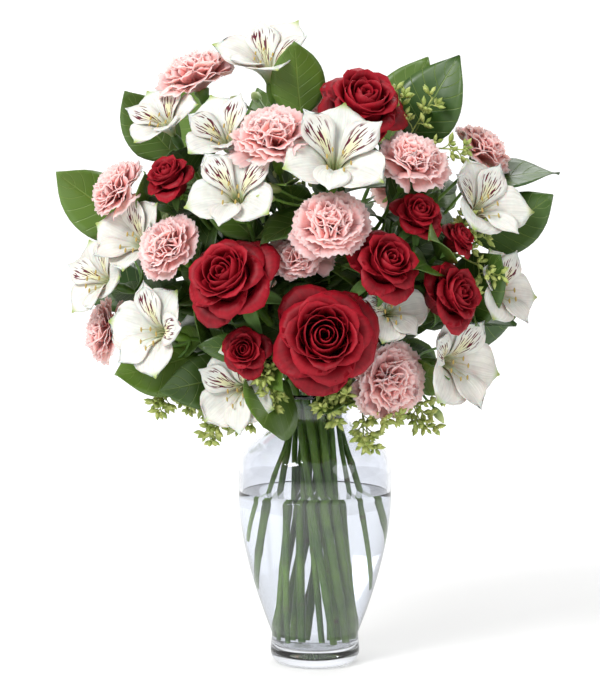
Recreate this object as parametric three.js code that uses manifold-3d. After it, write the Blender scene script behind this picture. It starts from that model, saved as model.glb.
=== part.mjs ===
// A mixed bouquet of roses, spray roses, carnations and alstroemeria, standing in water in a clear glass
// urn vase. Millimetres, +Z up. The origin is the middle of the flat underside of the vase's foot, and the
// bouquet's best side faces -Y.
import * as THREE from 'three';
import { mergeVertices } from 'three/addons/utils/BufferGeometryUtils.js';
import Module from 'manifold-3d';

const wasm = await Module();
wasm.setup();

// ---- Driving dimensions ------------------------------------------------------------------------------

// Vase
const vaseHeight = 190;
const footRadius = 31.5;
const footEdge = 7.5;
const footEdgeHeight = 9;
const waistRadius = 30.5;
const waistHeight = 21;
const bellyRadius = 53.6;
const bellyHeight = 114;
const neckRadius = 24;
const flareHeight = 18;
const neckHeight = vaseHeight - flareHeight;
const rimRadius = 33;
const glassWall = 2.6;
const glassBase = 11;
const flankHollow = 0.05;
const shoulderFall = 2.9;
const waterLevel = 121;

// Bouquet: flower heads stand on a rounded dome about its middle, and all look away from one point
const domeWidth = 148;
const domeDepth = 98;
const domeRise = 128;
const domeAboveRim = 98;
const domeMiddle = new THREE.Vector3(-6, 0, vaseHeight + domeAboveRim);
const lookAwayAboveRim = 22;
const lookAwayHeight = vaseHeight + lookAwayAboveRim;

// Flower heads, across the open face
const roseAcross = 68;
const sprayRoseAcross = 44;
const carnationAcross = 42;
const alstroemeriaAcross = 52;

// Stems
const roseStem = 5.4;
const sprayRoseStem = 4.4;
const carnationStem = 3.6;
const alstroemeriaStem = 4.4;
const leafStem = 3.6;
const seedStem = 3.2;
const branchShare = 0.66;

// Leaves and seed clusters
const leafLength = 66;
const leafWidth = 42;
const leafThickness = 1;
const clusterLength = 30;
const clusterWidth = 13;

// Clearances
const touchGap = 0.4;
const stemGap = 2.1;
const headGap = 2;
const waterGap = 0.3;

// Places in the neck: an inner and an outer ring of stems round a free middle
const innerRing = 9;
const outerRing = neckRadius - glassWall - roseStem / 2 - 2;
const innerPlaces = 6;

// From the neck to the floor each stem shifts sideways round the vase and inwards, so the bundle is
// narrowest near its middle
const sidewaysShift = 21.7;
const inwardShift = 10.85;
const sidewaysLean = sidewaysShift / (neckHeight - glassBase);
const inwardLean = inwardShift / (neckHeight - glassBase);
const footRest = 3.4;
const straightEnd = 8;
const rimClear = 6;

// How far up from the rim towards its heads a stem forks, or begins to bend if it has a single head
const forkShare = 0.34;
const singleBendShare = 0.25;

// How a branch eases out of its fork and into its head, as a share of the way between them
const branchEase = 0.35;
const branchPieces = 6;

// How far leaves and seed clusters nod forwards, in degrees
const leafNod = 6;
// Leaves behind this line show their faces to the back, and the others to the front, turned up a little
const leafSideLine = 25;
const leafFaceRise = 0.45;
const clusterNod = 10;

// A short stem's lower end stands this many of its radii off the glass, and a long one's reaches this
// many of its radii above its foot rest, as it leans
const wallRestRadii = 1.8;
const leanRadii = 0.4;

// A few short stems rest against the glass: stem, height of the lower end, and how far it swings round
const shortStems = [
  ['seed_sprig_left', 88, -6],
  ['alstroemeria_stem_left', 54, 10],
  ['alstroemeria_stem_right', 84, -4],
  ['seed_sprig_right', 54, 6],
];

// ---- Shapes ------------------------------------------------------------------------------------------

const up = new THREE.Vector3(0, 0, 1);
const degrees = Math.PI / 180;

// A closed mesh with its shared vertices merged, no collapsed triangles and its faces pointing out
function closed(geometry) {
  const bare = geometry.clone();
  bare.deleteAttribute('normal');
  bare.deleteAttribute('uv');
  const merged = mergeVertices(bare, 1e-4);
  const corners = merged.getAttribute('position');
  const faces = [];
  const a = new THREE.Vector3();
  const b = new THREE.Vector3();
  const c = new THREE.Vector3();
  let volume = 0;
  for (let i = 0; i < merged.index.count; i += 3) {
    const face = [0, 1, 2].map((k) => merged.index.getX(i + k));
    if (new Set(face).size < 3) continue;
    a.fromBufferAttribute(corners, face[0]);
    b.fromBufferAttribute(corners, face[1]);
    c.fromBufferAttribute(corners, face[2]);
    volume += a.dot(b.cross(c));
    faces.push(face);
  }
  const outward = volume < 0 ? faces.map((face) => face.reverse()) : faces;
  merged.setIndex(outward.flat());
  return merged;
}

function toSolid(geometry) {
  const mesh = closed(geometry);
  return new wasm.Manifold(new wasm.Mesh({
    numProp: 3,
    vertProperties: new Float32Array(mesh.getAttribute('position').array),
    triVerts: new Uint32Array(mesh.index.array),
  }));
}

function toGeometry(solid) {
  const mesh = solid.getMesh();
  const geometry = new THREE.BufferGeometry();
  geometry.setAttribute('position', new THREE.BufferAttribute(mesh.vertProperties, 3));
  geometry.setIndex(new THREE.BufferAttribute(mesh.triVerts, 1));
  return geometry;
}

// A solid of revolution about Z from [radius, height] points that start and end on the axis
function revolve(profile, sides) {
  const outline = profile.map(([radius, height]) => new THREE.Vector2(radius, height));
  return new THREE.LatheGeometry(outline, sides).rotateX(Math.PI / 2);
}

// A round rod along points, with flat ends
function rod(points, radius, sides, step) {
  const path = new THREE.CatmullRomCurve3(points, false, 'centripetal');
  const section = new THREE.Shape();
  for (let i = 0; i < sides; i++) {
    const turn = (i / sides) * Math.PI * 2;
    const corner = [radius * Math.cos(turn), radius * Math.sin(turn)];
    if (i === 0) section.moveTo(...corner);
    else section.lineTo(...corner);
  }
  const steps = Math.max(2, Math.round(path.getLength() / step));
  return new THREE.ExtrudeGeometry(section, { steps, extrudePath: path, bevelEnabled: false });
}

// ---- Vase and water ----------------------------------------------------------------------------------

// The outside of the glass: rounded foot edge, waist, flank swelling to the belly, shoulder falling to the
// neck, and a flared rim
function vaseRadius(height) {
  if (height < footEdgeHeight) {
    const rise = 1 - height / footEdgeHeight;
    return footRadius - footEdge * (1 - Math.sqrt(1 - rise * rise));
  }
  if (height < waistHeight) {
    const t = (height - footEdgeHeight) / (waistHeight - footEdgeHeight);
    return footRadius + (waistRadius - footRadius) * t * t * (3 - 2 * t);
  }
  if (height < bellyHeight) {
    const t = (height - waistHeight) / (bellyHeight - waistHeight);
    const swell = Math.sin((t * Math.PI) / 2) * (1 - flankHollow * Math.sin(t * Math.PI));
    return waistRadius + (bellyRadius - waistRadius) * swell;
  }
  if (height < neckHeight) {
    const t = (height - bellyHeight) / (neckHeight - bellyHeight);
    const fall = 0.5 + 0.5 * Math.cos(Math.PI * t ** shoulderFall);
    return neckRadius + (bellyRadius - neckRadius) * fall;
  }
  const t = (height - neckHeight) / (vaseHeight - neckHeight);
  return neckRadius + (rimRadius - neckRadius) * t * t;
}

function spread(from, to, count) {
  return Array.from({ length: count }, (_, i) => from + ((to - from) * i) / count);
}

const vaseSides = 22;
const outsideHeights = [
  ...spread(0, footEdgeHeight, 3),
  ...spread(footEdgeHeight, waistHeight, 2),
  ...spread(waistHeight, bellyHeight, 6),
  ...spread(bellyHeight, neckHeight, 7),
  ...spread(neckHeight, vaseHeight, 3),
  vaseHeight,
];
const outside = outsideHeights.map((height) => [vaseRadius(height), height]);

// The inside follows the outside at the wall's thickness, measured square to the glass
function insidePoint(height) {
  const nudge = 0.5;
  const slope = (vaseRadius(Math.min(height + nudge, vaseHeight)) - vaseRadius(height - nudge)) / (2 * nudge);
  const length = Math.hypot(1, slope);
  return [vaseRadius(height) - glassWall / length, height + (glassWall * slope) / length];
}

const insideHeights = outsideHeights.filter((height) => height >= waistHeight && height < vaseHeight);
const inside = insideHeights.map(insidePoint).filter(([, height]) => height > glassBase + 6);
inside.push([rimRadius - glassWall, vaseHeight]);
const floorTuck = 4;
const floorRound = 6;
const floorDish = 0.4;
const floorLift = 2.5;
const floorRadius = inside[0][0] - floorTuck;
const floorToWall = [
  [0, glassBase],
  [floorRadius - floorRound, glassBase + floorDish],
  [floorRadius, glassBase + floorLift],
];
const hollow = [...floorToWall, ...inside];

function hollowRadius(height) {
  for (let i = 1; i < hollow.length; i++) {
    const [r0, z0] = hollow[i - 1];
    const [r1, z1] = hollow[i];
    if (height <= z1 && z1 > z0) return r0 + ((r1 - r0) * (height - z0)) / (z1 - z0);
  }
  return rimRadius - glassWall;
}

function vaseGeometry() {
  const profile = [[0, 0], ...outside, ...[...hollow].reverse()];
  return revolve(profile, vaseSides);
}

function waterGeometry(stemTunnels) {
  const wet = hollow.filter(([, height]) => height < waterLevel - 3);
  const skin = wet.map(([radius, height]) => [Math.max(radius - waterGap, 0), height + waterGap]);
  const profile = [...skin, [hollowRadius(waterLevel) - waterGap, waterLevel], [0, waterLevel]];
  let water = toSolid(revolve(profile, vaseSides));
  for (const tunnel of stemTunnels) water = water.subtract(tunnel);
  return toGeometry(water);
}

// ---- Flower heads ------------------------------------------------------------------------------------

// Each head stands on its base at the origin and looks along +Z. Its outline is [share of half the width
// across, height], and ruffle says how far each ring swings in and out, in so many lobes.
function roseHead(across) {
  const half = across / 2;
  const deep = across * 0.72;
  const calyx = 0.13 * across;
  return {
    profile: [
      [0, 0, 0], [2.4, 0, 0], [2.6, calyx * 0.5, 0], [calyx, calyx, 0],
      [half * 0.66, calyx + deep * 0.22, 0.02], [half * 0.95, calyx + deep * 0.5, 0.03],
      [half, calyx + deep * 0.78, 0.05], [half * 0.84, calyx + deep * 0.97, 0.05],
      [half * 0.4, calyx + deep, 0.04], [0, calyx + deep * 0.9, 0],
    ],
    sides: 10,
    lobes: 5,
    middle: calyx + deep * 0.55,
    balls: [[calyx + deep * 0.58, half], [calyx * 1.4, half * 0.5]],
  };
}

function carnationHead(across) {
  const half = across / 2;
  const tube = 0.12 * across;
  const long = 0.46 * across;
  return {
    profile: [
      [0, 0, 0], [1.6, 0, 0], [tube, long * 0.25, 0], [tube * 1.1, long * 0.85, 0],
      [half * 0.8, long * 1.05, 0.05], [half, long * 1.5, 0.06], [half * 0.72, long * 2.05, 0.06],
      [0, long * 2.25, 0],
    ],
    sides: 10,
    lobes: 5,
    middle: long * 1.55,
    balls: [[long * 1.55, half * 0.98], [long * 0.5, tube * 1.3]],
  };
}

function alstroemeriaHead(across) {
  const half = across / 2;
  const deep = 0.72 * across;
  return {
    profile: [
      [0, 0, 0], [1.4, 0, 0], [3.2, deep * 0.12, 0], [3.4, deep * 0.25, 0],
      [half * 0.42, deep * 0.55, 0.08], [half * 0.93, deep * 0.95, 0.14], [half * 0.5, deep * 0.9, 0.1],
      [0, deep * 0.62, 0],
    ],
    sides: 12,
    lobes: 6,
    middle: deep * 0.78,
    balls: [[deep * 0.72, half * 0.8], [deep * 0.25, half * 0.3]],
  };
}

function headGeometry(head) {
  const outline = head.profile.map(([radius, height]) => [radius, height]);
  const geometry = revolve(outline, head.sides);
  const corners = geometry.getAttribute('position');
  const rings = head.profile.length;
  for (let i = 0; i < corners.count; i++) {
    const ruffle = head.profile[i % rings][2];
    const turn = Math.atan2(corners.getY(i), corners.getX(i));
    const swing = 1 + ruffle * Math.cos(head.lobes * turn);
    corners.setXY(i, corners.getX(i) * swing, corners.getY(i) * swing);
  }
  return geometry;
}

const petalRed = new THREE.MeshStandardMaterial({ color: 0x8e1220, roughness: 0.6, metalness: 0 });
const petalPink = new THREE.MeshStandardMaterial({ color: 0xefbcb4, roughness: 0.7, metalness: 0 });
const petalWhite = new THREE.MeshStandardMaterial({ color: 0xece8df, roughness: 0.6, metalness: 0 });
const stemGreen = new THREE.MeshStandardMaterial({ color: 0x5f7d38, roughness: 0.55, metalness: 0 });
const leafGreen = new THREE.MeshStandardMaterial({ color: 0x35562a, roughness: 0.4, metalness: 0 });
const seedGreen = new THREE.MeshStandardMaterial({ color: 0x93a352, roughness: 0.6, metalness: 0 });
const clearGlass = new THREE.MeshStandardMaterial({ color: 0xdfe9ee, roughness: 0.03, metalness: 0 });
const clearWater = new THREE.MeshStandardMaterial({ color: 0xdfeef2, roughness: 0.02, metalness: 0 });

const kinds = {
  rose: { head: roseHead, across: roseAcross, stem: roseStem, petals: petalRed },
  spray_rose: { head: roseHead, across: sprayRoseAcross, stem: sprayRoseStem, petals: petalRed },
  carnation: { head: carnationHead, across: carnationAcross, stem: carnationStem, petals: petalPink },
  alstroemeria: {
    head: alstroemeriaHead, across: alstroemeriaAcross, stem: alstroemeriaStem, petals: petalWhite,
  },
};

// ---- Arrangement -------------------------------------------------------------------------------------

// Each cut stem, with what it carries: [name, turn from the front, lift above the dome's middle (degrees),
// reach (1 is on the dome), share of the kind's width across, extra nod (degrees)]
const sprays = [
  { stem: 'rose_stem_left', kind: 'rose', heads: [['rose_left', -20, -4, 1, 0.94]] },
  { stem: 'rose_stem_front', kind: 'rose', heads: [['rose_front', 4, -20, 1.1, 1.08]] },
  { stem: 'rose_stem_top', kind: 'rose', heads: [['rose_top', 21, 44, 1, 0.94, 12]] },
  { stem: 'rose_stem_back', kind: 'rose', heads: [['rose_back', 172, 10, 1, 0.94]] },
  {
    stem: 'spray_rose_stem_right',
    kind: 'spray_rose',
    heads: [
      ['spray_rose_upper_right', 29, 12, 1, 0.76], ['spray_rose_bud', 42, 4, 1, 0.55],
      ['spray_rose_middle', 15, -1, 1.04, 1.08], ['spray_rose_lower_right', 39, -12, 1.02, 1.02],
    ],
  },
  {
    stem: 'spray_rose_stem_left',
    kind: 'spray_rose',
    heads: [
      ['spray_rose_left', -42, 23, 1, 0.76], ['spray_rose_low', -15, -27, 1.05, 0.72],
      ['spray_rose_back_left', -140, 18, 1, 0.9], ['spray_rose_back_right', 128, -14, 1, 0.9],
    ],
  },
  {
    stem: 'carnation_stem_upper',
    kind: 'carnation',
    heads: [
      ['carnation_top_left', -78, 60, 1.08, 1.05], ['carnation_top', -9, 35, 1.05, 1],
      ['carnation_upper_right', 30, 28, 1.03, 0.9], ['carnation_right', 84, 34, 1, 0.84],
      ['carnation_back_top', 168, 56, 1, 1],
    ],
  },
  {
    stem: 'carnation_stem_left',
    kind: 'carnation',
    heads: [
      ['carnation_left', -64, 18, 1, 0.84], ['carnation_middle_left', -39, 2, 0.98, 0.86],
      ['carnation_low_left', -84, -24, 1.04, 0.86], ['carnation_back_left', -148, -20, 1, 1],
    ],
  },
  {
    stem: 'carnation_stem_right',
    kind: 'carnation',
    heads: [
      ['carnation_middle', 7, 11, 1, 0.92], ['carnation_inner', -3, 3, 0.9, 0.78],
      ['carnation_low_right', 32, -42, 1, 1.02], ['carnation_back_right', 146, 22, 1, 1],
    ],
  },
  {
    stem: 'alstroemeria_stem_left',
    kind: 'alstroemeria',
    heads: [
      ['alstroemeria_top', -60, 78, 1.05, 1.05], ['alstroemeria_upper_left', -68, 46, 1, 0.84],
      ['alstroemeria_inner_left', -33, 42, 0.92, 0.92], ['alstroemeria_left', -55, 6, 0.93, 0.9],
      ['alstroemeria_far_left', -76, -8, 1, 0.88],
    ],
  },
  {
    stem: 'alstroemeria_stem_middle',
    kind: 'alstroemeria',
    heads: [
      ['alstroemeria_middle_left', -20, 18, 1, 0.95], ['alstroemeria_middle', 8, 25, 1.02, 1.08],
      ['alstroemeria_low_left', -50, -24, 1, 0.98], ['alstroemeria_bottom', -28, -46, 1, 0.9],
      ['alstroemeria_back_left', -172, -22, 1, 1],
    ],
  },
  {
    stem: 'alstroemeria_stem_right',
    kind: 'alstroemeria',
    heads: [
      ['alstroemeria_right', 58, 15, 0.98, 1], ['alstroemeria_inner_right', 28, -18, 0.9, 0.76],
      ['alstroemeria_far_right', 66, -11, 1, 0.84], ['alstroemeria_low_right', 57, -35, 1, 1.04],
    ],
  },
];

// Greenery: [turn, lift, reach of the leaf's foot, share of leaf length] for leaves, and
// [turn, lift, reach of the cluster's foot, share of cluster length] for seed clusters
const greens = [
  {
    stem: 'leaf_sprig_right',
    leaves: [[58, 46, 0.8, 1], [82, 24, 0.8, 1], [74, 4, 0.82, 0.9], [64, -26, 0.8, 1], [118, -26, 0.8, 1]],
  },
  {
    stem: 'leaf_sprig_left',
    leaves: [[-82, 10, 0.8, 1], [-86, 40, 0.8, 0.85], [-58, -42, 0.8, 0.9], [-104, -16, 0.8, 0.9],
      [-130, 42, 0.8, 1]],
  },
  {
    stem: 'leaf_sprig_front',
    leaves: [[-14, -60, 0.78, 1.1], [22, -62, 0.76, 0.8], [-4, 62, 0.8, 0.8], [-43, -52, 0.81, 0.8],
      [52, -46, 0.86, 0.75]],
  },
  {
    stem: 'leaf_sprig_back',
    leaves: [[-168, 36, 0.8, 1], [160, -4, 0.8, 1], [-162, 0, 0.8, 1], [130, 50, 0.8, 1], [175, -52, 0.8, 1]],
  },
  {
    stem: 'seed_sprig_left',
    clusters: [[-52, -56, 0.86, 1], [-30, -66, 0.84, 1.1], [-70, -42, 0.9, 0.9], [-12, -42, 0.84, 0.9],
      [-125, -45, 0.86, 1]],
  },
  {
    stem: 'seed_sprig_right',
    clusters: [[12, -50, 0.84, 0.9], [30, -56, 0.92, 1], [64, -50, 0.9, 1], [50, 2, 0.88, 0.9],
      [46, 44, 0.9, 1.1]],
  },
  {
    stem: 'seed_sprig_back',
    clusters: [[150, -38, 0.86, 1], [-158, -40, 0.86, 1], [-175, 20, 0.88, 1], [150, 36, 0.9, 1]],
  },
];

function onDome(turn, lift, reach) {
  const side = Math.cos(lift * degrees);
  return new THREE.Vector3(
    domeMiddle.x + domeWidth * reach * side * Math.sin(turn * degrees),
    domeMiddle.y - domeDepth * reach * side * Math.cos(turn * degrees),
    domeMiddle.z + domeRise * reach * Math.sin(lift * degrees),
  );
}

// The way a thing at this place looks: away from the look-away point, nodded down by some degrees
function lookFrom(place, nod) {
  const look = place.clone().sub(new THREE.Vector3(0, 0, lookAwayHeight)).normalize();
  const sideways = new THREE.Vector3().crossVectors(up, look).normalize();
  return look.applyAxisAngle(sideways, nod * degrees);
}

// Everything that a stem ends in, as a tip: where its foot is, which way it looks, and round bounds of it
function headTip(kind, [name, turn, lift, reach, share, nod = 0]) {
  const head = kind.head(kind.across * share);
  return { name, head, petals: kind.petals, middle: onDome(turn, lift, reach), nod, far: head.balls };
}

function leafTip([turn, lift, reach, share]) {
  const far = [[-straightEnd / 2, straightEnd / 2]];
  return { leaf: share, middle: onDome(turn, lift, reach), nod: leafNod, far };
}

function clusterTip([turn, lift, reach, share]) {
  const long = clusterLength * share;
  const far = [[0, clusterWidth / 3], [long * 0.35, clusterWidth / 2], [long * 0.75, clusterWidth / 2.4]];
  return { cluster: share, middle: onDome(turn, lift, reach), nod: clusterNod, far };
}

const stems = [
  ...sprays.map(({ stem, kind, heads }) => ({
    name: stem,
    radius: kinds[kind].stem / 2,
    finish: stemGreen,
    tips: heads.map((entry) => headTip(kinds[kind], entry)),
  })),
  ...greens.map(({ stem, leaves = [], clusters = [] }) => ({
    name: stem,
    radius: (leaves.length ? leafStem : seedStem) / 2,
    finish: leaves.length ? leafGreen : seedGreen,
    tips: [...leaves.map(leafTip), ...clusters.map(clusterTip)],
  })),
];
const tips = stems.flatMap((stem) => stem.tips);

// Heads that would press into each other move apart, each by half of what is missing
function moveHeadsApart() {
  const round = tips.filter((tip) => tip.far.length);
  const sizeOf = (tip) => Math.max(...tip.far.map(([, radius]) => radius));
  for (let pass = 0; pass < 80; pass++) {
    for (let i = 0; i < round.length; i++) {
      for (let j = 0; j < i; j++) {
        const apart = new THREE.Vector3().subVectors(round[i].middle, round[j].middle);
        const missing = sizeOf(round[i]) + sizeOf(round[j]) + headGap - apart.length();
        if (missing <= 0) continue;
        apart.setLength(missing / 2);
        round[i].middle.add(apart);
        round[j].middle.sub(apart);
      }
    }
  }
}
moveHeadsApart();

for (const tip of tips) {
  tip.look = lookFrom(tip.middle, tip.nod);
  const rise = tip.head ? tip.head.middle : 0;
  tip.foot = tip.middle.clone().addScaledVector(tip.look, -rise);
  tip.balls = tip.far.map(([height, radius]) => ({
    place: tip.foot.clone().addScaledVector(tip.look, height),
    radius,
    tip,
  }));
}

// ---- Routes of the stems -----------------------------------------------------------------------------

// The steepest stems take the inner places in the neck, and the rest go round the outer ring in order
function takePlaces() {
  const mean = (stem) => stem.tips
    .reduce((sum, tip) => sum.add(tip.foot), new THREE.Vector3())
    .divideScalar(stem.tips.length);
  for (const stem of stems) {
    stem.aim = mean(stem);
    stem.turn = Math.atan2(stem.aim.y, stem.aim.x);
    stem.outness = Math.hypot(stem.aim.x, stem.aim.y) / (stem.aim.z - neckHeight);
  }
  const byOutness = [...stems].sort((a, b) => a.outness - b.outness);
  const rings = [
    { radius: innerRing, list: byOutness.slice(0, innerPlaces) },
    { radius: outerRing, list: byOutness.slice(innerPlaces) },
  ];
  for (const { radius, list } of rings) {
    list.sort((a, b) => a.turn - b.turn);
    const step = (2 * Math.PI) / list.length;
    let offX = 0;
    let offY = 0;
    list.forEach((stem, i) => {
      offX += Math.cos(stem.turn - i * step);
      offY += Math.sin(stem.turn - i * step);
    });
    const offset = Math.atan2(offY, offX);
    list.forEach((stem, i) => {
      const turn = offset + i * step;
      const share = radius / outerRing;
      stem.neckPlace = new THREE.Vector3(radius * Math.cos(turn), radius * Math.sin(turn), neckHeight);
      const outward = new THREE.Vector3(Math.cos(turn), Math.sin(turn), 0);
      const sideways = new THREE.Vector3(-Math.sin(turn), Math.cos(turn), 0);
      stem.down = new THREE.Vector3(0, 0, -1)
        .addScaledVector(outward, -inwardLean * share)
        .addScaledVector(sideways, sidewaysLean * share);
    });
  }
}
takePlaces();

function along(from, direction, drop) {
  return from.clone().addScaledVector(direction, drop);
}

// A smooth branch from one point to a foot, arriving along the way its tip looks
function branchPoints(from, leaving, tip, count) {
  const arrive = along(tip.foot, tip.look, -straightEnd);
  const reach = from.distanceTo(arrive);
  const curve = new THREE.CubicBezierCurve3(
    from,
    along(from, leaving, reach * branchEase),
    along(arrive, tip.look, -reach * branchEase),
    arrive,
  );
  return [...curve.getPoints(count).slice(1), tip.foot.clone()];
}

// The lower end of a stem: on the vase's floor, or for a short stem against its wall
function lowerEnd(stem) {
  const short = shortStems.find(([name]) => name === stem.name);
  const drop = neckHeight - glassBase - footRest - stem.radius * leanRadii;
  if (!short) return along(stem.neckPlace, stem.down, drop);
  const [, height, swing] = short;
  const turn = Math.atan2(stem.neckPlace.y, stem.neckPlace.x) + swing * degrees;
  const out = hollowRadius(height) - stem.radius * wallRestRadii - touchGap;
  return new THREE.Vector3(out * Math.cos(turn), out * Math.sin(turn), height);
}

stems.forEach((stem) => {
  const end = lowerEnd(stem);
  stem.lower = [end, end.clone().lerp(stem.neckPlace, 0.5)];
  const rimPoint = along(stem.neckPlace, stem.down, neckHeight - vaseHeight - rimClear);
  const single = stem.tips.length === 1;
  const fork = rimPoint.clone().lerp(stem.aim, single ? singleBendShare : forkShare);
  const onward = fork.clone().sub(rimPoint).normalize();
  const leaving = onward.sub(stem.down).normalize();
  stem.fork = fork;
  stem.upper = [stem.neckPlace.clone(), rimPoint, rimPoint.clone().lerp(fork, 0.5), fork];
  stem.branches = stem.tips.map((tip) => branchPoints(fork, leaving, tip, branchPieces));
});

// Rods as chains of points: ends at the neck and at the feet stay, and the rest give way
const chains = stems.flatMap((stem) => {
  const trunk = { stem, radius: stem.radius, points: stem.upper, held: (i) => i < 2 };
  const thin = stem.tips.length > 1 ? stem.radius * branchShare : stem.radius;
  const limbs = stem.branches.map((points, k) => ({
    stem,
    tip: stem.tips[k],
    radius: thin,
    points: [stem.fork, ...points],
    held: (i) => i >= points.length - 1,
  }));
  return [trunk, ...limbs];
});

const pieces = chains.flatMap((chain) => chain.points.slice(1).map((end, i) => ({
  chain, a: chain.points[i], b: end, freeA: !chain.held(i), freeB: !chain.held(i + 1),
})));

// Each pass moves crowded pieces a little over half of what is missing, and smooths a little
const pieceGive = 0.55;
const headGive = 0.7;
const smoothGive = 0.12;

// Nearest points of two straight pieces, as how far along each they lie
function nearest(p, q) {
  const u = new THREE.Vector3().subVectors(p.b, p.a);
  const v = new THREE.Vector3().subVectors(q.b, q.a);
  const w = new THREE.Vector3().subVectors(p.a, q.a);
  const [uu, uv, vv, uw, vw] = [u.dot(u), u.dot(v), v.dot(v), u.dot(w), v.dot(w)];
  const clamp = (value) => Math.min(1, Math.max(0, value));
  const even = uu * vv - uv * uv;
  let s = even > 1e-9 ? clamp((uv * vw - vv * uw) / even) : 0;
  const t = clamp((uv * s + vw) / vv);
  s = clamp((uv * t - uw) / uu);
  return [s, t];
}

function push(piece, share, move) {
  if (piece.freeA) piece.a.addScaledVector(move, 1 - share);
  if (piece.freeB) piece.b.addScaledVector(move, share);
}

function keepPiecesApart() {
  for (let i = 0; i < pieces.length; i++) {
    const p = pieces[i];
    for (let j = 0; j < i; j++) {
      const q = pieces[j];
      if (p.chain.stem === q.chain.stem) continue;
      const bound = p.a.distanceTo(p.b) + q.a.distanceTo(q.b) + p.chain.radius + q.chain.radius + stemGap;
      if (p.a.distanceTo(q.a) > bound) continue;
      const [s, t] = nearest(p, q);
      const away = p.a.clone().lerp(p.b, s).sub(q.a.clone().lerp(q.b, t));
      const missing = p.chain.radius + q.chain.radius + stemGap - away.length();
      if (missing <= 0) continue;
      away.setLength(missing * pieceGive);
      push(p, s, away);
      push(q, t, away.clone().negate());
    }
  }
}

function keepOffHeads() {
  const balls = tips.flatMap((tip) => tip.balls);
  for (const piece of pieces) {
    for (const ball of balls) {
      if (ball.tip === piece.chain.tip) continue;
      const dot = { a: ball.place, b: ball.place.clone().addScaledVector(up, 0.01) };
      const [s] = nearest(piece, dot);
      const away = piece.a.clone().lerp(piece.b, s).sub(ball.place);
      const missing = ball.radius + piece.chain.radius + stemGap - away.length();
      if (missing > 0) push(piece, s, away.setLength(missing * headGive));
    }
  }
}

// Points below the rim stay inside the neck, and points just above it stay off the glass
function keepOffVase() {
  for (const chain of chains) {
    chain.points.forEach((point, i) => {
      const out = Math.hypot(point.x, point.y);
      if (chain.held(i) || out > rimRadius + 2 * stemGap + chain.radius) return;
      point.z = Math.max(point.z, vaseHeight + stemGap + chain.radius);
    });
  }
}

function smoothChains() {
  for (const chain of chains) {
    for (let i = 1; i < chain.points.length - 1; i++) {
      if (chain.held(i)) continue;
      const middle = chain.points[i - 1].clone().add(chain.points[i + 1]).multiplyScalar(0.5);
      chain.points[i].lerp(middle, smoothGive);
    }
  }
}

const smoothPasses = 60;
const allPasses = 260;
for (let pass = 0; pass < allPasses; pass++) {
  if (pass < smoothPasses) smoothChains();
  keepPiecesApart();
  keepOffHeads();
  keepOffVase();
}

// ---- Solids ------------------------------------------------------------------------------------------

// Turns a shape that stands at the origin and looks along +Z to stand at a foot and look another way
function placed(geometry, foot, look, roll) {
  const turn = new THREE.Quaternion().setFromUnitVectors(up, look);
  const spin = new THREE.Quaternion().setFromAxisAngle(up, roll);
  const pose = new THREE.Matrix4().compose(foot, turn.multiply(spin), new THREE.Vector3(1, 1, 1));
  return geometry.clone().applyMatrix4(pose);
}

// A pointed oval blade that stands on its foot along +Z, flat in X, a little dished, and thickened in Y
function leafBlade(share, thickness, margin) {
  const long = leafLength * share;
  const half = (leafWidth * share) / 2;
  const rows = 5;
  const edge = [];
  for (let i = 1; i < rows; i++) {
    const t = i / rows;
    edge.push([half * Math.sin(Math.PI * t ** 0.75) ** 0.8 + margin, long * t]);
  }
  const outline = new THREE.Shape();
  outline.moveTo(-1.2 - margin, 0);
  for (const [x, z] of edge) outline.lineTo(-x, z);
  outline.lineTo(0, long + margin);
  for (const [x, z] of [...edge].reverse()) outline.lineTo(x, z);
  outline.lineTo(1.2 + margin, 0);
  const blade = new THREE.ExtrudeGeometry(outline, { depth: thickness, bevelEnabled: false });
  return blade.translate(0, 0, -thickness / 2).rotateX(Math.PI / 2);
}

function clusterBody(share) {
  const long = clusterLength * share;
  const half = (clusterWidth * share) / 2;
  const profile = [[0, 0], [1.2, 0], [half, long * 0.3], [half * 0.85, long * 0.72], [0, long]];
  return revolve(profile, 7);
}

const boxesMeet = (p, q) => [0, 1, 2].every((k) => p.min[k] < q.max[k] && q.min[k] < p.max[k]);

function overlap(solid, others) {
  const bounds = solid.boundingBox();
  let volume = 0;
  for (const other of others) {
    if (!boxesMeet(bounds, other.bounds)) continue;
    volume += solid.intersect(other.solid).volume();
    if (volume > 0.5) return volume;
  }
  return volume;
}

// The first way to hold a leaf that is clear of everything else: small turns are tried before large ones,
// and a smaller leaf only when no turn will do
const leafTurns = [];
for (const tilt of [0, 14, -14, 28, -28, 42, -42]) {
  for (const swing of [0, 16, -16, 32, -32, 48, -48]) {
    for (const roll of [0, 35, -35, 70]) leafTurns.push([tilt, swing, roll]);
  }
}
const effort = ([tilt, swing, roll]) => Math.abs(tilt) + Math.abs(swing) + Math.abs(roll) / 3;
leafTurns.sort((a, b) => effort(a) - effort(b));

function leafPose(tip, tilt, swing, roll) {
  const across = new THREE.Vector3().crossVectors(up, tip.look).normalize();
  const look = tip.look.clone().applyAxisAngle(across, tilt * degrees);
  look.applyAxisAngle(up, swing * degrees).normalize();
  const face = new THREE.Vector3(0, tip.middle.y > leafSideLine ? 1 : -1, leafFaceRise);
  face.addScaledVector(look, -face.dot(look)).normalize();
  const flat = new THREE.Vector3().crossVectors(face, look);
  flat.applyAxisAngle(look, roll * degrees);
  face.applyAxisAngle(look, roll * degrees);
  return new THREE.Matrix4().makeBasis(flat, face, look).setPosition(tip.foot);
}

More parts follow.
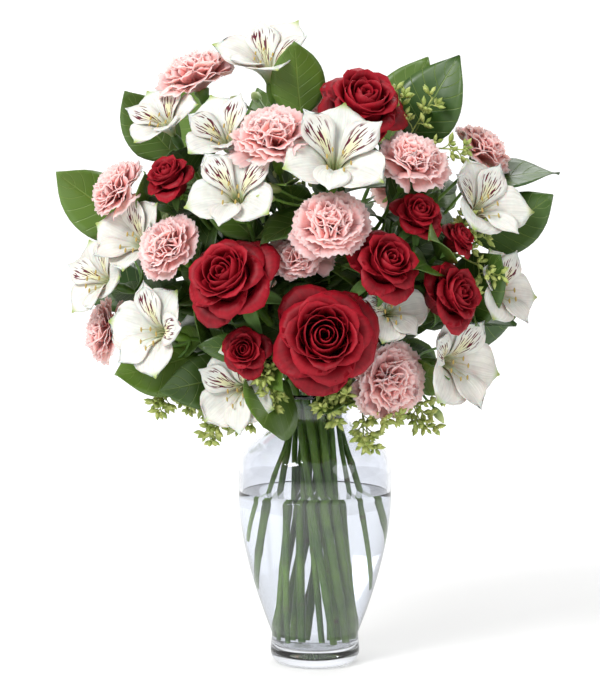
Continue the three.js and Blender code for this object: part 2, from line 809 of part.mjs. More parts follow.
function clearLeaf(tip, others) {
  for (const shrink of [1, 0.86, 0.72, 0.6]) {
    const room = leafBlade(tip.leaf * shrink, leafThickness + 2 * touchGap, touchGap);
    for (const [tilt, swing, roll] of leafTurns) {
      const pose = leafPose(tip, tilt, swing, roll);
      if (overlap(toSolid(room.clone().applyMatrix4(pose)), others) > 0) continue;
      return toSolid(leafBlade(tip.leaf * shrink, leafThickness, 0).applyMatrix4(pose));
    }
  }
  return toSolid(leafBlade(tip.leaf * 0.6, leafThickness, 0).applyMatrix4(leafPose(tip, 0, 0, 0)));
}

const bouquet = new THREE.Group();

function addPiece(name, geometry, material) {
  const mesh = new THREE.Mesh(geometry, material);
  mesh.name = name;
  bouquet.add(mesh);
}

const taken = [];
function take(solid, owner) {
  taken.push({ solid, owner, bounds: solid.boundingBox() });
}

const vase = closed(vaseGeometry());
addPiece('vase', vase, clearGlass);
take(toSolid(vase), 'vase');

// Flower heads
for (const tip of tips.filter(({ head }) => head)) {
  const foot = tip.foot.clone().addScaledVector(tip.look, touchGap);
  const geometry = closed(placed(headGeometry(tip.head), foot, tip.look, tip.middle.x * 0.1));
  addPiece(tip.name, geometry, tip.petals);
  take(toSolid(geometry), tip.name);
}

// Stems with their branches and seed clusters
const trunkSides = 6;
const branchSides = 4;
const trunkStep = 28;
const branchStep = 26;
for (const stem of stems) {
  const single = stem.tips.length === 1;
  const trunkPoints = [...stem.lower, ...stem.upper, ...(single ? stem.branches[0] : [])];
  stem.trunk = trunkPoints;
  stem.solid = toSolid(rod(trunkPoints, stem.radius, trunkSides, trunkStep));
  const limbs = single ? [] : chains.filter((chain) => chain.stem === stem && chain.tip);
  for (const limb of limbs) {
    const onward = new THREE.Vector3().subVectors(limb.points[1], limb.points[0]).normalize();
    const route = [along(limb.points[0], onward, -limb.radius), ...limb.points.slice(1)];
    stem.solid = stem.solid.add(toSolid(rod(route, limb.radius, branchSides, branchStep)));
    if (!limb.tip.cluster) continue;
    const sunk = along(limb.tip.foot, limb.tip.look, -1);
    const cluster = placed(clusterBody(limb.tip.cluster), sunk, limb.tip.look, 0);
    stem.solid = stem.solid.add(toSolid(cluster));
  }
  take(stem.solid, stem.name);
}

// Leaves join their sprig once they are clear of everything else
for (const stem of stems) {
  for (const tip of stem.tips.filter(({ leaf }) => leaf)) {
    const others = taken.filter(({ owner }) => owner !== stem.name);
    const leaf = clearLeaf(tip, others);
    stem.solid = stem.solid.add(leaf);
    take(leaf, stem.name);
  }
  addPiece(stem.name, toGeometry(stem.solid), stem.finish);
}

// Water fills the vase round the stems
const tunnels = stems.map(({ trunk, radius }) => {
  const tunnel = rod(trunk, radius + waterGap, trunkSides, trunkStep);
  return toSolid(tunnel);
});
addPiece('water', waterGeometry(tunnels), clearWater);

export default bouquet;
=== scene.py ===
import math
import bpy
import numpy as np
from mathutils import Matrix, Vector


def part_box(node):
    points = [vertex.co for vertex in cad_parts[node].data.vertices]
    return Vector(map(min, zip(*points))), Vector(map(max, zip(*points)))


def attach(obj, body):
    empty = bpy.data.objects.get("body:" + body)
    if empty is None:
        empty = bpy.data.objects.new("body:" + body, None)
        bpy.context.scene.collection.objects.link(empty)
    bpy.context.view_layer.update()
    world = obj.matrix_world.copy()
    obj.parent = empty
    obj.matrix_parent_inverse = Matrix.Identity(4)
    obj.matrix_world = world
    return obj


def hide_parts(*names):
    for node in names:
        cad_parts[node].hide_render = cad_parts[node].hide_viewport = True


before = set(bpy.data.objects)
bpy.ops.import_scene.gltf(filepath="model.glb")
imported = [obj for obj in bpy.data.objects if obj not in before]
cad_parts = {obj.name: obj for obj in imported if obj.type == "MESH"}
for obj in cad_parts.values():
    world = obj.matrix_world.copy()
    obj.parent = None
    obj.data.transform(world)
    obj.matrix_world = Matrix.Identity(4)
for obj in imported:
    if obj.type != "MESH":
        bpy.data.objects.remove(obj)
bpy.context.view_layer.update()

# Camera: at the height of the lowest flowers, looking level at the bouquet's best side from a little
# over a metre away.
def placed(name, data):
    """An object for the data, put into the scene."""
    new = bpy.data.objects.new(name, data)
    bpy.context.scene.collection.objects.link(new)
    return new


camera = placed("camera", bpy.data.cameras.new("camera"))
camera.data.lens = 95.7
camera.location = (-0.0105, -1.300, 0.300)
camera_aim = Vector((-0.0105, 0.0, 0.220))
camera.rotation_euler = (camera_aim - camera.location).to_track_quat("-Z", "Y").to_euler()
bpy.context.scene.camera = camera
bpy.context.scene.view_settings.view_transform = "Standard"

# Studio: a white sweep of paper, a bright even room, and large soft lamps, the strongest high on the left.
def set_inputs(tree, node, inputs):
    """Sets each input of a node, by name or number, to a value, or links it where it is given a socket."""
    for name, value in inputs.items():
        if isinstance(value, bpy.types.NodeSocket):
            tree.links.new(value, node.inputs[name])
        else:
            node.inputs[name].default_value = value


def new_material(name, inputs):
    """A material with inputs of its Principled shader set."""
    material = bpy.data.materials.new(name)
    material.use_nodes = True
    set_inputs(material.node_tree, material.node_tree.nodes["Principled BSDF"], inputs)
    return material


def soft_lamp(name, place, aim, size, watts):
    lamp = placed(name, bpy.data.lights.new(name, "AREA"))
    lamp.data.shape = "DISK"
    lamp.data.size = size
    lamp.data.energy = watts
    lamp.location = place
    lamp.rotation_euler = (Vector(aim) - lamp.location).to_track_quat("-Z", "Y").to_euler()


world = bpy.data.worlds.new("studio")
bpy.context.scene.world = world
world.use_nodes = True
set_inputs(world.node_tree, world.node_tree.nodes["Background"], {
    "Color": (1.0, 1.0, 1.0, 1.0), "Strength": 0.50})
soft_lamp("key_lamp", (-0.95, -1.1, 1.35), (0, 0, 0.28), 0.9, 32.0)
soft_lamp("fill_lamp", (1.3, -1.3, 0.7), (0, 0, 0.25), 1.2, 6.5)
soft_lamp("top_lamp", (0.3, 0.7, 1.5), (0, 0, 0.3), 0.8, 8.0)

sweep_side = 4.0
sweep_bend = 1.0
bend_start = 1.2
sweep_line = [(-3.0, 0.0), (bend_start, 0.0)]
sweep_line += [(bend_start + sweep_bend * math.sin(a), sweep_bend * (1 - math.cos(a)))
               for a in np.linspace(0.1, 1.57, 12)]
sweep_line += [(2.2, 4.0)]
sweep_mesh = bpy.data.meshes.new("floor")
sweep_mesh.from_pydata(
    [(x, y, z) for y, z in sweep_line for x in (-sweep_side, sweep_side)],
    [],
    [(2 * i, 2 * i + 1, 2 * i + 3, 2 * i + 2) for i in range(len(sweep_line) - 1)],
)
for name, white, glow in (("paper_floor", 0.84, 0.14), ("paper_wall", 0.93, 0.3)):
    sweep_mesh.materials.append(new_material(name, {
        "Base Color": (white, white, white, 1.0), "Roughness": 0.9,
        "Emission Color": (1.0, 1.0, 1.0, 1.0), "Emission Strength": glow}))
sweep_mesh.polygons.foreach_set("material_index", [0] + [1] * (len(sweep_line) - 2))
sweep = placed("floor", sweep_mesh)

# Vase: clear glass pressed and blown in one piece, with a thick rounded foot, a waist, a swelling belly, a
# shoulder that falls in to a narrow neck, and a flared fire-polished rim.
vase_low, vase_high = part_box("vase")
vase_height = vase_high[2] - vase_low[2]
belly_radius = 0.0536
foot_radius, foot_edge, foot_edge_height = 0.0315, 0.0075, 0.009
waist_radius, waist_height = 0.0305, 0.021
belly_height = 0.114
shoulder_fall = 2.9
neck_radius, neck_height = 0.024, 0.172
rim_radius = 0.033
glass_wall, glass_base = 0.0026, 0.011
water_level = 0.121


def eased(t):
    t = np.clip(t, 0.0, 1.0)
    return t * t * (3 - 2 * t)


def vase_outside(height):
    if height < foot_edge_height:
        rise = 1 - height / foot_edge_height
        return foot_radius - foot_edge * (1 - math.sqrt(max(1 - rise * rise, 0)))
    if height < waist_height:
        t = (height - foot_edge_height) / (waist_height - foot_edge_height)
        return foot_radius + (waist_radius - foot_radius) * eased(t)
    if height < belly_height:
        t = (height - waist_height) / (belly_height - waist_height)
        swell = math.sin(t * math.pi / 2) * (1 - 0.05 * math.sin(t * math.pi))
        return waist_radius + (belly_radius - waist_radius) * swell
    if height < neck_height:
        t = (height - belly_height) / (neck_height - belly_height)
        return neck_radius + (belly_radius - neck_radius) * (0.5 + 0.5 * math.cos(math.pi * t**shoulder_fall))
    t = (height - neck_height) / (vase_height - neck_height)
    return neck_radius + (rim_radius - neck_radius) * t * t


def vase_inside(height, sink):
    slope = (vase_outside(height + 0.0005) - vase_outside(height - 0.0005)) / 0.001
    length = math.hypot(1, slope)
    return vase_outside(height) - sink / length, height + sink * slope / length


def turned(name, profile, sides, material):
    """A piece turned about Z from (radius, height) points, first and last on the axis."""
    around = np.linspace(0, 2 * math.pi, sides, endpoint=False)
    corners = [(0, 0, profile[0][1])]
    for radius, height in profile[1:-1]:
        corners += [(radius * math.cos(a), radius * math.sin(a), height) for a in around]
    corners.append((0, 0, profile[-1][1]))
    rings = len(profile) - 2
    faces = []
    for k in range(sides):
        n = (k + 1) % sides
        faces.append((0, 1 + n, 1 + k))
        for i in range(rings - 1):
            a, b = 1 + i * sides, 1 + (i + 1) * sides
            faces.append((a + k, a + n, b + n, b + k))
        last = 1 + (rings - 1) * sides
        faces.append((last + k, last + n, len(corners) - 1))
    mesh = bpy.data.meshes.new(name)
    mesh.from_pydata(corners, [], faces)
    mesh.polygons.foreach_set("use_smooth", [True] * len(faces))
    mesh.materials.append(material)
    return placed(name, mesh)


def add_node(tree, kind, inputs=None, **settings):
    """A new node in a tree with its settings, and its inputs set or linked."""
    node = tree.nodes.new(kind)
    for name, value in settings.items():
        setattr(node, name, value)
    set_inputs(tree, node, inputs or {})
    return node


def clear_material(name, colour, ior, shade):
    """A clear material that lets light for the things behind it straight through."""
    material = new_material(name, {
        "Base Color": colour, "Roughness": 0.0, "IOR": ior, "Transmission Weight": 1.0})
    tree = material.node_tree
    path = add_node(tree, "ShaderNodeLightPath")
    bare = add_node(tree, "ShaderNodeBsdfTransparent", {"Color": (shade, shade, shade, 1.0)})
    clear = tree.nodes["Principled BSDF"]
    mix = add_node(tree, "ShaderNodeMixShader", {
        0: path.outputs["Is Shadow Ray"], 1: clear.outputs["BSDF"], 2: bare.outputs["BSDF"]})
    set_inputs(tree, tree.nodes["Material Output"], {"Surface": mix.outputs["Shader"]})
    return material


glass = clear_material("clear_glass", (0.84, 0.86, 0.905, 1.0), 1.5, 0.52)
outside_heights = np.concatenate([
    foot_edge_height * (1 - np.cos(np.linspace(0.2, math.pi / 2, 7))),
    np.linspace(foot_edge_height, vase_height, 70)[1:],
])
hollow_line = [vase_inside(h, glass_wall) for h in np.linspace(waist_height, vase_height - 0.002, 60)]
hollow_line = [(r, z) for r, z in hollow_line if z > glass_base + 0.007]
floor_radius = hollow_line[0][0] - 0.003
hollow_floor = [(0, glass_base), (floor_radius * 0.5, glass_base),
                (floor_radius - 0.004, glass_base + 0.0004), (floor_radius, glass_base + 0.0022)]
vase_profile = [(0, 0), (foot_radius - foot_edge - 0.004, 0.0)]
vase_profile += [(vase_outside(h), h) for h in outside_heights]
vase_profile += [(rim_radius - glass_wall * 0.25, vase_height + 0.0006),
                 (rim_radius - glass_wall * 0.8, vase_height)]
vase_profile += hollow_line[::-1] + hollow_floor[::-1]
vase_piece = turned("vase_glass", vase_profile, 96, glass)
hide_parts("vase")
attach(vase_piece, "root")

# Water: clean tap water to a little above the vase's widest part. It wets the glass, so it reaches a hair
# into the wall and climbs it in a small meniscus.
water_look = clear_material("clear_water", (0.985, 0.995, 0.99, 1.0), 1.33, 0.97)
wetting = 0.0001
wet_line = [(r + wetting, z) for r, z in hollow_line if z < water_level - 0.001]
wall_at_level = np.interp(water_level, [z for _, z in hollow_line], [r for r, _ in hollow_line]) + wetting
water_profile = [(0, glass_base - wetting)]
water_profile += [(r + wetting, z - wetting) for r, z in hollow_floor[1:]] + wet_line
water_profile += [(wall_at_level, water_level + 0.0005), (wall_at_level - 0.0008, water_level + 0.0001)]
water_profile += [(wall_at_level - 0.002, water_level), (0, water_level)]
water_piece = turned("water_fill", water_profile, 96, water_look)
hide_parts("water")
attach(water_piece, "root")


# Large roses: opened garden roses in deep velvety red. Petals stand in a spiral on a small green cup,
# tightly rolled in the middle and rolled back at the lip further out; five sepals hang below.
def looking(look):
    """The directions (side, above, look) for a look direction of length 1."""
    side = np.cross((0.0, 0.0, 1.0), look)
    side /= np.linalg.norm(side)
    return np.array([side, np.cross(look, side), look])


def head_frame(node):
    """Foot, directions (side, above, look) and width across of a flower head, from its CAD solid."""
    corners = np.array([v.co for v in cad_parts[node].data.vertices])
    rounded, index = np.unique(corners.round(5), axis=0, return_inverse=True)
    index = index.reshape(-1)
    faces = np.array([index[list(p.vertices)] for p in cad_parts[node].data.polygons])
    pairs = np.vstack([faces[:, [0, 1]], faces[:, [1, 2]], faces[:, [2, 0]]])
    lengths = np.linalg.norm(rounded[pairs[:, 0]] - rounded[pairs[:, 1]], axis=1)
    total = np.bincount(pairs[:, 0], lengths, len(rounded))
    count = np.bincount(pairs[:, 0], minlength=len(rounded))
    foot = rounded[np.argmin(total / np.maximum(count, 1))]
    look = rounded.mean(axis=0) - foot
    look /= np.linalg.norm(look)
    offsets = rounded - foot
    out = offsets - np.outer(offsets @ look, look)
    return foot, looking(look), 2 * np.linalg.norm(out, axis=1).max()


def towards_viewer(basis, share):
    """Turns a head's look direction part of the way from its stem's to straight out of its own side."""
    look = basis[2] + share * np.array((0.0, -1.0 if basis[2][1] < 0.25 else 1.0, 0.1))
    return looking(look / np.linalg.norm(look))


class Sheets:
    """Collects thin closed sheets, such as petals and leaves, for one mesh. Each is a grid of points, rows
    along its length, given its own thickness, a UV map (across, along) and a tone number."""

    def __init__(self):
        self.corners, self.faces, self.uvs, self.tones, self.size = [], [], [], [], 0

    def add(self, grid, thickness, tone, kind=0.0):
        rows, columns = grid.shape[:2]
        along = np.gradient(grid, axis=0)
        across = np.gradient(grid, axis=1)
        normal = np.cross(across, along)
        normal /= np.linalg.norm(normal, axis=2, keepdims=True) + 1e-12
        count = rows * columns
        top = (grid + normal * thickness / 2).reshape(-1, 3)
        under = (grid - normal * thickness / 2).reshape(-1, 3)
        ids = np.arange(count).reshape(rows, columns) + self.size
        a, b, c, d = ids[:-1, :-1], ids[:-1, 1:], ids[1:, 1:], ids[1:, :-1]
        front = np.stack([a, b, c, d], -1).reshape(-1, 4)
        rim = np.concatenate([ids[0, :-1], ids[:-1, -1], ids[-1, :0:-1], ids[:0:-1, 0]])
        after = np.roll(rim, -1)
        edge = np.stack([after, rim, rim + count, after + count], -1)
        self.corners += [top, under]
        self.faces += [front, front[:, ::-1] + count, edge]
        u, v = np.meshgrid(np.linspace(0, 1, columns), np.linspace(0, 1, rows))
        uv = np.stack([u, v], -1).reshape(-1, 2)
        self.uvs += [uv, uv]
        self.tones.append(np.tile([[tone, kind]], (2 * count, 1)))
        self.size += 2 * count

    def piece(self, name, material, foot=(0, 0, 0), basis=np.eye(3)):
        corners = np.vstack(self.corners) @ basis + foot
        faces = np.vstack(self.faces)
        mesh = bpy.data.meshes.new(name)
        mesh.from_pydata(corners.tolist(), [], faces.tolist())
        mesh.polygons.foreach_set("use_smooth", [True] * len(faces))
        uvs, tones = np.vstack(self.uvs), np.vstack(self.tones)
        layer = mesh.uv_layers.new(name="petal")
        layer.data.foreach_set("uv", uvs[faces.reshape(-1)].reshape(-1))
        for k, attribute in enumerate(("tone", "kind")):
            mesh.attributes.new(attribute, "FLOAT", "POINT").data.foreach_set("value", tones[:, k])
        mesh.materials.append(material)
        piece = placed(name, mesh)
        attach(piece, "root")
        return piece


def mixed(tree, mask, low, high):
    """A colour between low and high by a mask. Each of these is a socket or a plain value."""
    return add_node(tree, "ShaderNodeMix", {0: mask, 6: low, 7: high}, data_type="RGBA").outputs[2]


def ramped(tree, value, low, high, start=0.0, end=1.0):
    """A value mapped smoothly from low..high to start..end."""
    limits = {"From Min": low, "From Max": high, "To Min": start, "To Max": end}
    ramp = add_node(tree, "ShaderNodeMapRange", {"Value": value, **limits}, interpolation_type="SMOOTHSTEP")
    return ramp.outputs["Result"]


def calculated(tree, operation, *values):
    """A number worked out from others, each a socket or a plain value."""
    return add_node(tree, "ShaderNodeMath", dict(enumerate(values)), operation=operation).outputs[0]


def noise(tree, vector, scale, detail=2.0):
    cloud = add_node(tree, "ShaderNodeTexNoise", {"Vector": vector, "Scale": scale, "Detail": detail})
    return cloud.outputs["Fac"]


def scaled(tree, vector, scale, shift=None):
    """A vector scaled along each axis, and shifted by another where one is given."""
    stretch = add_node(tree, "ShaderNodeMapping", {"Vector": vector, "Scale": scale}).outputs["Vector"]
    if shift is None:
        return stretch
    return add_node(tree, "ShaderNodeVectorMath", {0: stretch, 1: shift}, operation="ADD").outputs["Vector"]


def object_place(tree):
    return add_node(tree, "ShaderNodeTexCoord").outputs["Object"]


def petal_place(tree):
    """The place on a petal or leaf: its UV map as a vector, and its number across and along."""
    uv = add_node(tree, "ShaderNodeUVMap", uv_map="petal").outputs["UV"]
    split = add_node(tree, "ShaderNodeSeparateXYZ", {0: uv})
    return uv, split.outputs["X"], split.outputs["Y"]


def own_number(tree, name):
    """A number stored on the mesh, as a node with it as Fac and as Vector."""
    return add_node(tree, "ShaderNodeAttribute", attribute_name=name).outputs


def relief(tree, height, strength, distance, invert=False):
    """The shading normal of small relief in the surface."""
    lifted = {"Height": height, "Strength": strength, "Distance": distance}
    return add_node(tree, "ShaderNodeBump", lifted, invert=invert).outputs["Normal"]


def petal_group():
    """Petal skin, shared by every flower: fine veins that fan along the petal, mottling, a deeper base and
    a paler lip, and each petal a little lighter or darker than the next. On the red roses the deeper base
    is painted shade of the crevices deep in the bloom, and on the carnations it is partly painted shade of
    the folds."""
    group = bpy.data.node_groups.new("petal_skin", "ShaderNodeTree")
    for name in ("Body", "Base Tint And Shade", "Lip"):
        group.interface.new_socket(name, in_out="INPUT", socket_type="NodeSocketColor")
    for name in ("Base Tint And Shade Ends", "Lip Starts", "Vein Strength", "Tone Spread"):
        group.interface.new_socket(name, in_out="INPUT", socket_type="NodeSocketFloat")
    group.interface.new_socket("Color", in_out="OUTPUT", socket_type="NodeSocketColor")
    group.interface.new_socket("Height", in_out="OUTPUT", socket_type="NodeSocketFloat")
    given = add_node(group, "NodeGroupInput").outputs
    uv, _, along = petal_place(group)
    tone = own_number(group, "tone")
    veins = noise(group, scaled(group, uv, (34.0, 2.2, 1.0), tone["Vector"]), 1.0, 3.0)
    mottle = noise(group, object_place(group), 120.0)
    # Towards its foot each petal turns to the base colour: painted shade on the red roses, partly painted
    # fold shade on the carnations, the flower's own tint on the others.
    body = mixed(group, ramped(group, along, 0.0, given["Base Tint And Shade Ends"]), given["Base Tint And Shade"], given["Body"])
    edged = mixed(group, ramped(group, along, given["Lip Starts"], 1.0), body, given["Lip"])
    ridges = ramped(group, veins, 0.3, 0.7, -1.0, 1.0)
    vein_push = calculated(group, "MULTIPLY", ridges, given["Vein Strength"])
    push = calculated(group, "MULTIPLY_ADD", tone["Fac"], given["Tone Spread"], vein_push)
    light = calculated(group, "ADD", push, ramped(group, mottle, 0.25, 0.75, 0.9, 1.1))
    shade = add_node(group, "ShaderNodeVectorMath", {0: edged}, operation="SCALE")
    set_inputs(group, shade, {"Scale": light})
    add_node(group, "NodeGroupOutput", {"Color": shade.outputs["Vector"], "Height": veins})
    return group


petal_skin = petal_group()


def petal_material(name, body, deep, lip, base_tint_and_shade_ends, lip_starts, vein, tone, roughness, sheen, bump):
    material = new_material(name, {
        "Roughness": roughness, "Sheen Weight": sheen, "Sheen Roughness": 0.4, "Sheen Tint": (*lip, 1.0),
        "Specular IOR Level": 0.22})
    tree = material.node_tree
    skin = tree.nodes.new("ShaderNodeGroup")
    skin.node_tree = petal_skin
    set_inputs(tree, skin, {
        "Body": (*body, 1.0), "Base Tint And Shade": (*deep, 1.0), "Lip": (*lip, 1.0), "Base Tint And Shade Ends": base_tint_and_shade_ends,
        "Lip Starts": lip_starts, "Vein Strength": vein, "Tone Spread": tone})
    set_inputs(tree, tree.nodes["Principled BSDF"], {
        "Base Color": skin.outputs["Color"], "Normal": relief(tree, skin.outputs["Height"], bump, 0.0004)})
    return material


# Rose petals darken to near black at their foot: painted shade for the crevices deep in the bloom.
rose_skin = petal_material(
    "rose_petal", (0.195, 0.0020, 0.0080), (0.030, 0.0004, 0.002), (0.30, 0.0045, 0.014),
    0.78, 0.86, 0.12, 0.16, 0.55, 0.06, 0.35)
sepal_skin = petal_material(
    "sepal", (0.10, 0.20, 0.045), (0.16, 0.27, 0.07), (0.08, 0.15, 0.04),
    0.4, 0.8, 0.12, 0.15, 0.5, 0.05, 0.4)
stem_skin = new_material("stem", {"Roughness": 0.42})
tree = stem_skin.node_tree
place = object_place(tree)
fibre = noise(tree, scaled(tree, place, (420.0, 420.0, 26.0)), 1.0, 3.0)
patch = noise(tree, place, 32.0)
scar = own_number(tree, "mark")["Fac"]
body = mixed(tree, ramped(tree, patch, 0.35, 0.65), (0.048, 0.130, 0.010, 1), (0.145, 0.275, 0.026, 1))
body = mixed(tree, ramped(tree, fibre, 0.45, 0.8, 0.0, 0.5), body, (0.045, 0.095, 0.018, 1))
body = mixed(tree, ramped(tree, scar, 0.35, 0.95, 0.0, 0.8), body, (0.085, 0.050, 0.025, 1))
set_inputs(tree, tree.nodes["Principled BSDF"], {
    "Base Color": body, "Normal": relief(tree, fibre, 0.5, 0.0004)})
golden_turn = math.radians(137.5)


def traced(lean, step):
    """Radius and height of each row of a petal, from its lean at each row and the length of each step."""
    middle = (lean[1:] + lean[:-1]) / 2
    start = np.zeros((1, step.shape[1]))
    return [np.vstack([start, np.cumsum(part(middle) * step, axis=0)]) for part in (np.cos, np.sin)]


def swung(r, side, z, turn):
    """A grid of points from their radius, sideways offset and height, swung about the look axis."""
    x = r * math.cos(turn) - side * math.sin(turn)
    y = r * math.sin(turn) + side * math.cos(turn)
    return np.stack([x, y, z], -1)


def petal_lines(rows, columns):
    """Numbers along a petal, 0 to 1, and across it, -1 to 1."""
    return np.linspace(0, 1, rows)[:, None], np.linspace(-1, 1, columns)[None, :]


def rose_petal(half, deep, t, turn, rng, rows, columns):
    """One petal as a grid: t runs from 0 in the rolled middle to 1 on the outermost petal."""
    v, u = petal_lines(rows, columns)
    reach = half * (0.08 + 0.87 * t**0.92)
    top = deep * (0.93 + 0.07 * math.sin(math.pi * min(t * 1.5, 1)) - 0.34 * eased((t - 0.5) / 0.5))
    upright = math.radians(97 - 24 * t**1.5)
    roll = math.radians(-10 + 165 * eased((t - 0.22) / 0.7)) * (0.8 + 0.5 * u * u)
    roll_from = 0.86 - 0.2 * t
    corner = 0.24 + 0.14 * t * rng.uniform(0.4, 1.6)
    length = v * (1 - corner * np.abs(u) ** 2.2 + 0.10 * t * (1 - np.abs(u)) ** 2)
    lean = math.radians(18) + (upright - math.radians(18)) * eased(v / 0.42)
    lean = lean - roll * np.clip((length - roll_from) / (1 - roll_from), 0, 1.2) ** 1.3
    r, z = traced(lean, np.diff(length, axis=0))
    core = columns // 2
    r = half * 0.04 + r * (reach - half * 0.04) / max(r[:, core].max(), 1e-6)
    z = z * top / z[:, core].max()
    wide = math.radians(122 - 50 * t**0.7) * (0.4 + 0.6 * eased(v / 0.45))
    around = turn + u * wide
    r = r * (1 + 0.11 * u * (1 - 0.5 * t) * eased(v / 0.3))
    wave, swell = rng.uniform(0, 6.28, 2)
    r = r + half * 0.022 * np.sin(3 * around + wave) * v**3 * (0.4 + t)
    z = z + half * 0.03 * np.sin(2.3 * around + swell) * v**3 * (0.3 + t)
    return np.stack([r * np.cos(around), r * np.sin(around), z], -1)


def sepal(half, turn, droop, rows=8, columns=5):
    """A narrow pointed sepal, from under the petals outwards and down."""
    v, u = petal_lines(rows, columns)
    lean = math.radians(25) - droop * v
    r = half * 0.13 + half * 0.62 * v * np.cos(lean)
    z = -half * 0.02 + half * 0.62 * v * np.sin(lean)
    wide = half * 0.13 * np.sin(np.pi * np.clip(v * 0.86 + 0.14, 0, 1)) ** 0.8 + 1e-5
    return swung(r, u * wide, z + (u * u) * wide * 0.5, turn)


def geometry_tree(name, inputs):
    """An empty Geometry Nodes tree with named inputs, and the sockets that they give."""
    tree = bpy.data.node_groups.new(name, "GeometryNodeTree")
    for socket, kind in inputs:
        tree.interface.new_socket(socket, in_out="INPUT", socket_type="NodeSocket" + kind)
    tree.interface.new_socket("Made", in_out="OUTPUT", socket_type="NodeSocketGeometry")
    return tree, add_node(tree, "NodeGroupInput").outputs


def point_number(tree, name, data_type="FLOAT"):
    stored = add_node(tree, "GeometryNodeInputNamedAttribute", {"Name": name}, data_type=data_type)
    return stored.outputs["Attribute"]


def finish_tree(tree, geometry, material):
    """Makes instances real, sets the material and ends the tree."""
    real = add_node(tree, "GeometryNodeRealizeInstances", {"Geometry": geometry}).outputs["Geometry"]
    last = add_node(tree, "GeometryNodeSetMaterial", {"Geometry": real, "Material": material})
    add_node(tree, "NodeGroupOutput", {"Made": last.outputs["Geometry"]})
    return tree


def rod_tree():
    """Geometry Nodes that turn lines with a thickness at each point into round rods with closed ends."""
    tree, given = geometry_tree("rods", (("Lines", "Geometry"), ("Sides", "Int"), ("Material", "Material")))
    curve = add_node(tree, "GeometryNodeMeshToCurve", {"Mesh": given["Lines"]})
    ring = add_node(tree, "GeometryNodeCurvePrimitiveCircle", {"Resolution": given["Sides"], "Radius": 1.0})
    sweep = add_node(tree, "GeometryNodeCurveToMesh", {
        "Curve": curve.outputs["Curve"], "Profile Curve": ring.outputs["Curve"], "Fill Caps": True,
        "Scale": point_number(tree, "thick")})
    smooth = add_node(tree, "GeometryNodeSetShadeSmooth", {"Geometry": sweep.outputs["Mesh"]})
    return finish_tree(tree, smooth.outputs["Geometry"], given["Material"])


def grown(name, base, tree, inputs):
    """Runs a Geometry Nodes tree once over a base mesh and keeps the plain mesh that comes out."""
    piece = placed(name, base)
    modifier = piece.modifiers.new("shape", "NODES")
    modifier.node_group = tree
    sockets = {item.name: item.identifier for item in tree.interface.items_tree if item.in_out == "INPUT"}
    for socket, value in inputs.items():
        modifier[sockets[socket]] = value
    bpy.context.view_layer.update()
    shaped = piece.evaluated_get(bpy.context.evaluated_depsgraph_get())
    mesh = bpy.data.meshes.new_from_object(shaped)
    mesh.name = name
    piece.modifiers.clear()
    piece.data = mesh
    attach(piece, "root")
    return piece


rods = rod_tree()


def rods_along(name, chains, material, sides):
    """Lines, each with the thickness and mark of its every point, as one mesh of round rods."""
    starts = np.cumsum([0] + [len(chain[0]) for chain in chains])
    edges = [(start + i, start + i + 1) for start, chain in zip(starts.tolist(), chains)
             for i in range(len(chain[0]) - 1)]
    base = bpy.data.meshes.new(name)
    base.from_pydata(np.vstack([chain[0] for chain in chains]).tolist(), edges, [])
    for k, attribute in ((1, "thick"), (2, "mark")):
        values = np.concatenate([chain[k] for chain in chains])
        base.attributes.new(attribute, "FLOAT", "POINT").data.foreach_set("value", values)
    return grown(name, base, rods, {"Sides": sides, "Material": material})


def cup_line(foot, basis, profile):
    """The line of a round cup or tube up a head's look axis, from (radius, height) points."""
    radius, height = np.array(profile).T
    return foot + height[:, None] * basis[2], radius, np.zeros(len(radius))


fifth_turn = 1.2566
hips = []
head_balls = []  # the centre and radius that each head fills, kept clear of leaves and buds


def heads(start):
    """The nodes of one kind of flower head, by the start of their names."""
    return enumerate(sorted(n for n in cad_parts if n.startswith(start) and "stem" not in n))


def make_rose(node, petals, seed, fullness, turned_out, rows=11, columns=11):
    rng = np.random.default_rng(seed)
    foot, basis, across = head_frame(node)
    head_balls.append((foot + basis[2] * across * 0.48, across * 0.60))
    basis = towards_viewer(basis, turned_out)
    half = across * fullness
    deep = across * 0.72
    cup = across * 0.12
    bloom = Sheets()
    for i in range(petals):
        t = i / (petals - 1)
        grid = rose_petal(half, deep, t, i * golden_turn + rng.uniform(-0.12, 0.12), rng, rows, columns)
        bloom.add(grid + (0, 0, cup * 0.8), half * 0.012, rng.uniform(-1, 1))
    piece = bloom.piece(node + "_petals", rose_skin, foot, basis)
    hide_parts(node)
    green = Sheets()
    for k in range(5):
        grid = sepal(half, k * fifth_turn + rng.uniform(-0.1, 0.1), rng.uniform(0.6, 1.5))
        green.add(grid + (0, 0, cup), half * 0.02, rng.uniform(-1, 1))
    hips.append(cup_line(foot, basis, [(0.0022, 0), (0.0028, cup * 0.35), (cup * 0.6, cup * 0.55),
                                       (cup * 0.85, cup * 0.8), (cup * 0.8, cup * 1.0),
                                       (cup * 0.4, cup * 1.1)]))
    piece = green.piece(node + "_sepals", sepal_skin, foot, basis)


for seed, node in enumerate(("rose_left", "rose_front", "rose_top", "rose_back")):
    make_rose(node, 30, 20 + seed, 0.575, (0.12, 0.0, 0.5, 0.3)[seed])

# Spray roses: the same deep red in heads half the size, several to a stem, less open than the large ones.
for seed, node in heads("spray_rose"):
    make_rose(node, 24, 40 + seed, 0.59, 0.2, rows=9, columns=9)
piece = rods_along("rose_hips", hips, stem_skin, 14)

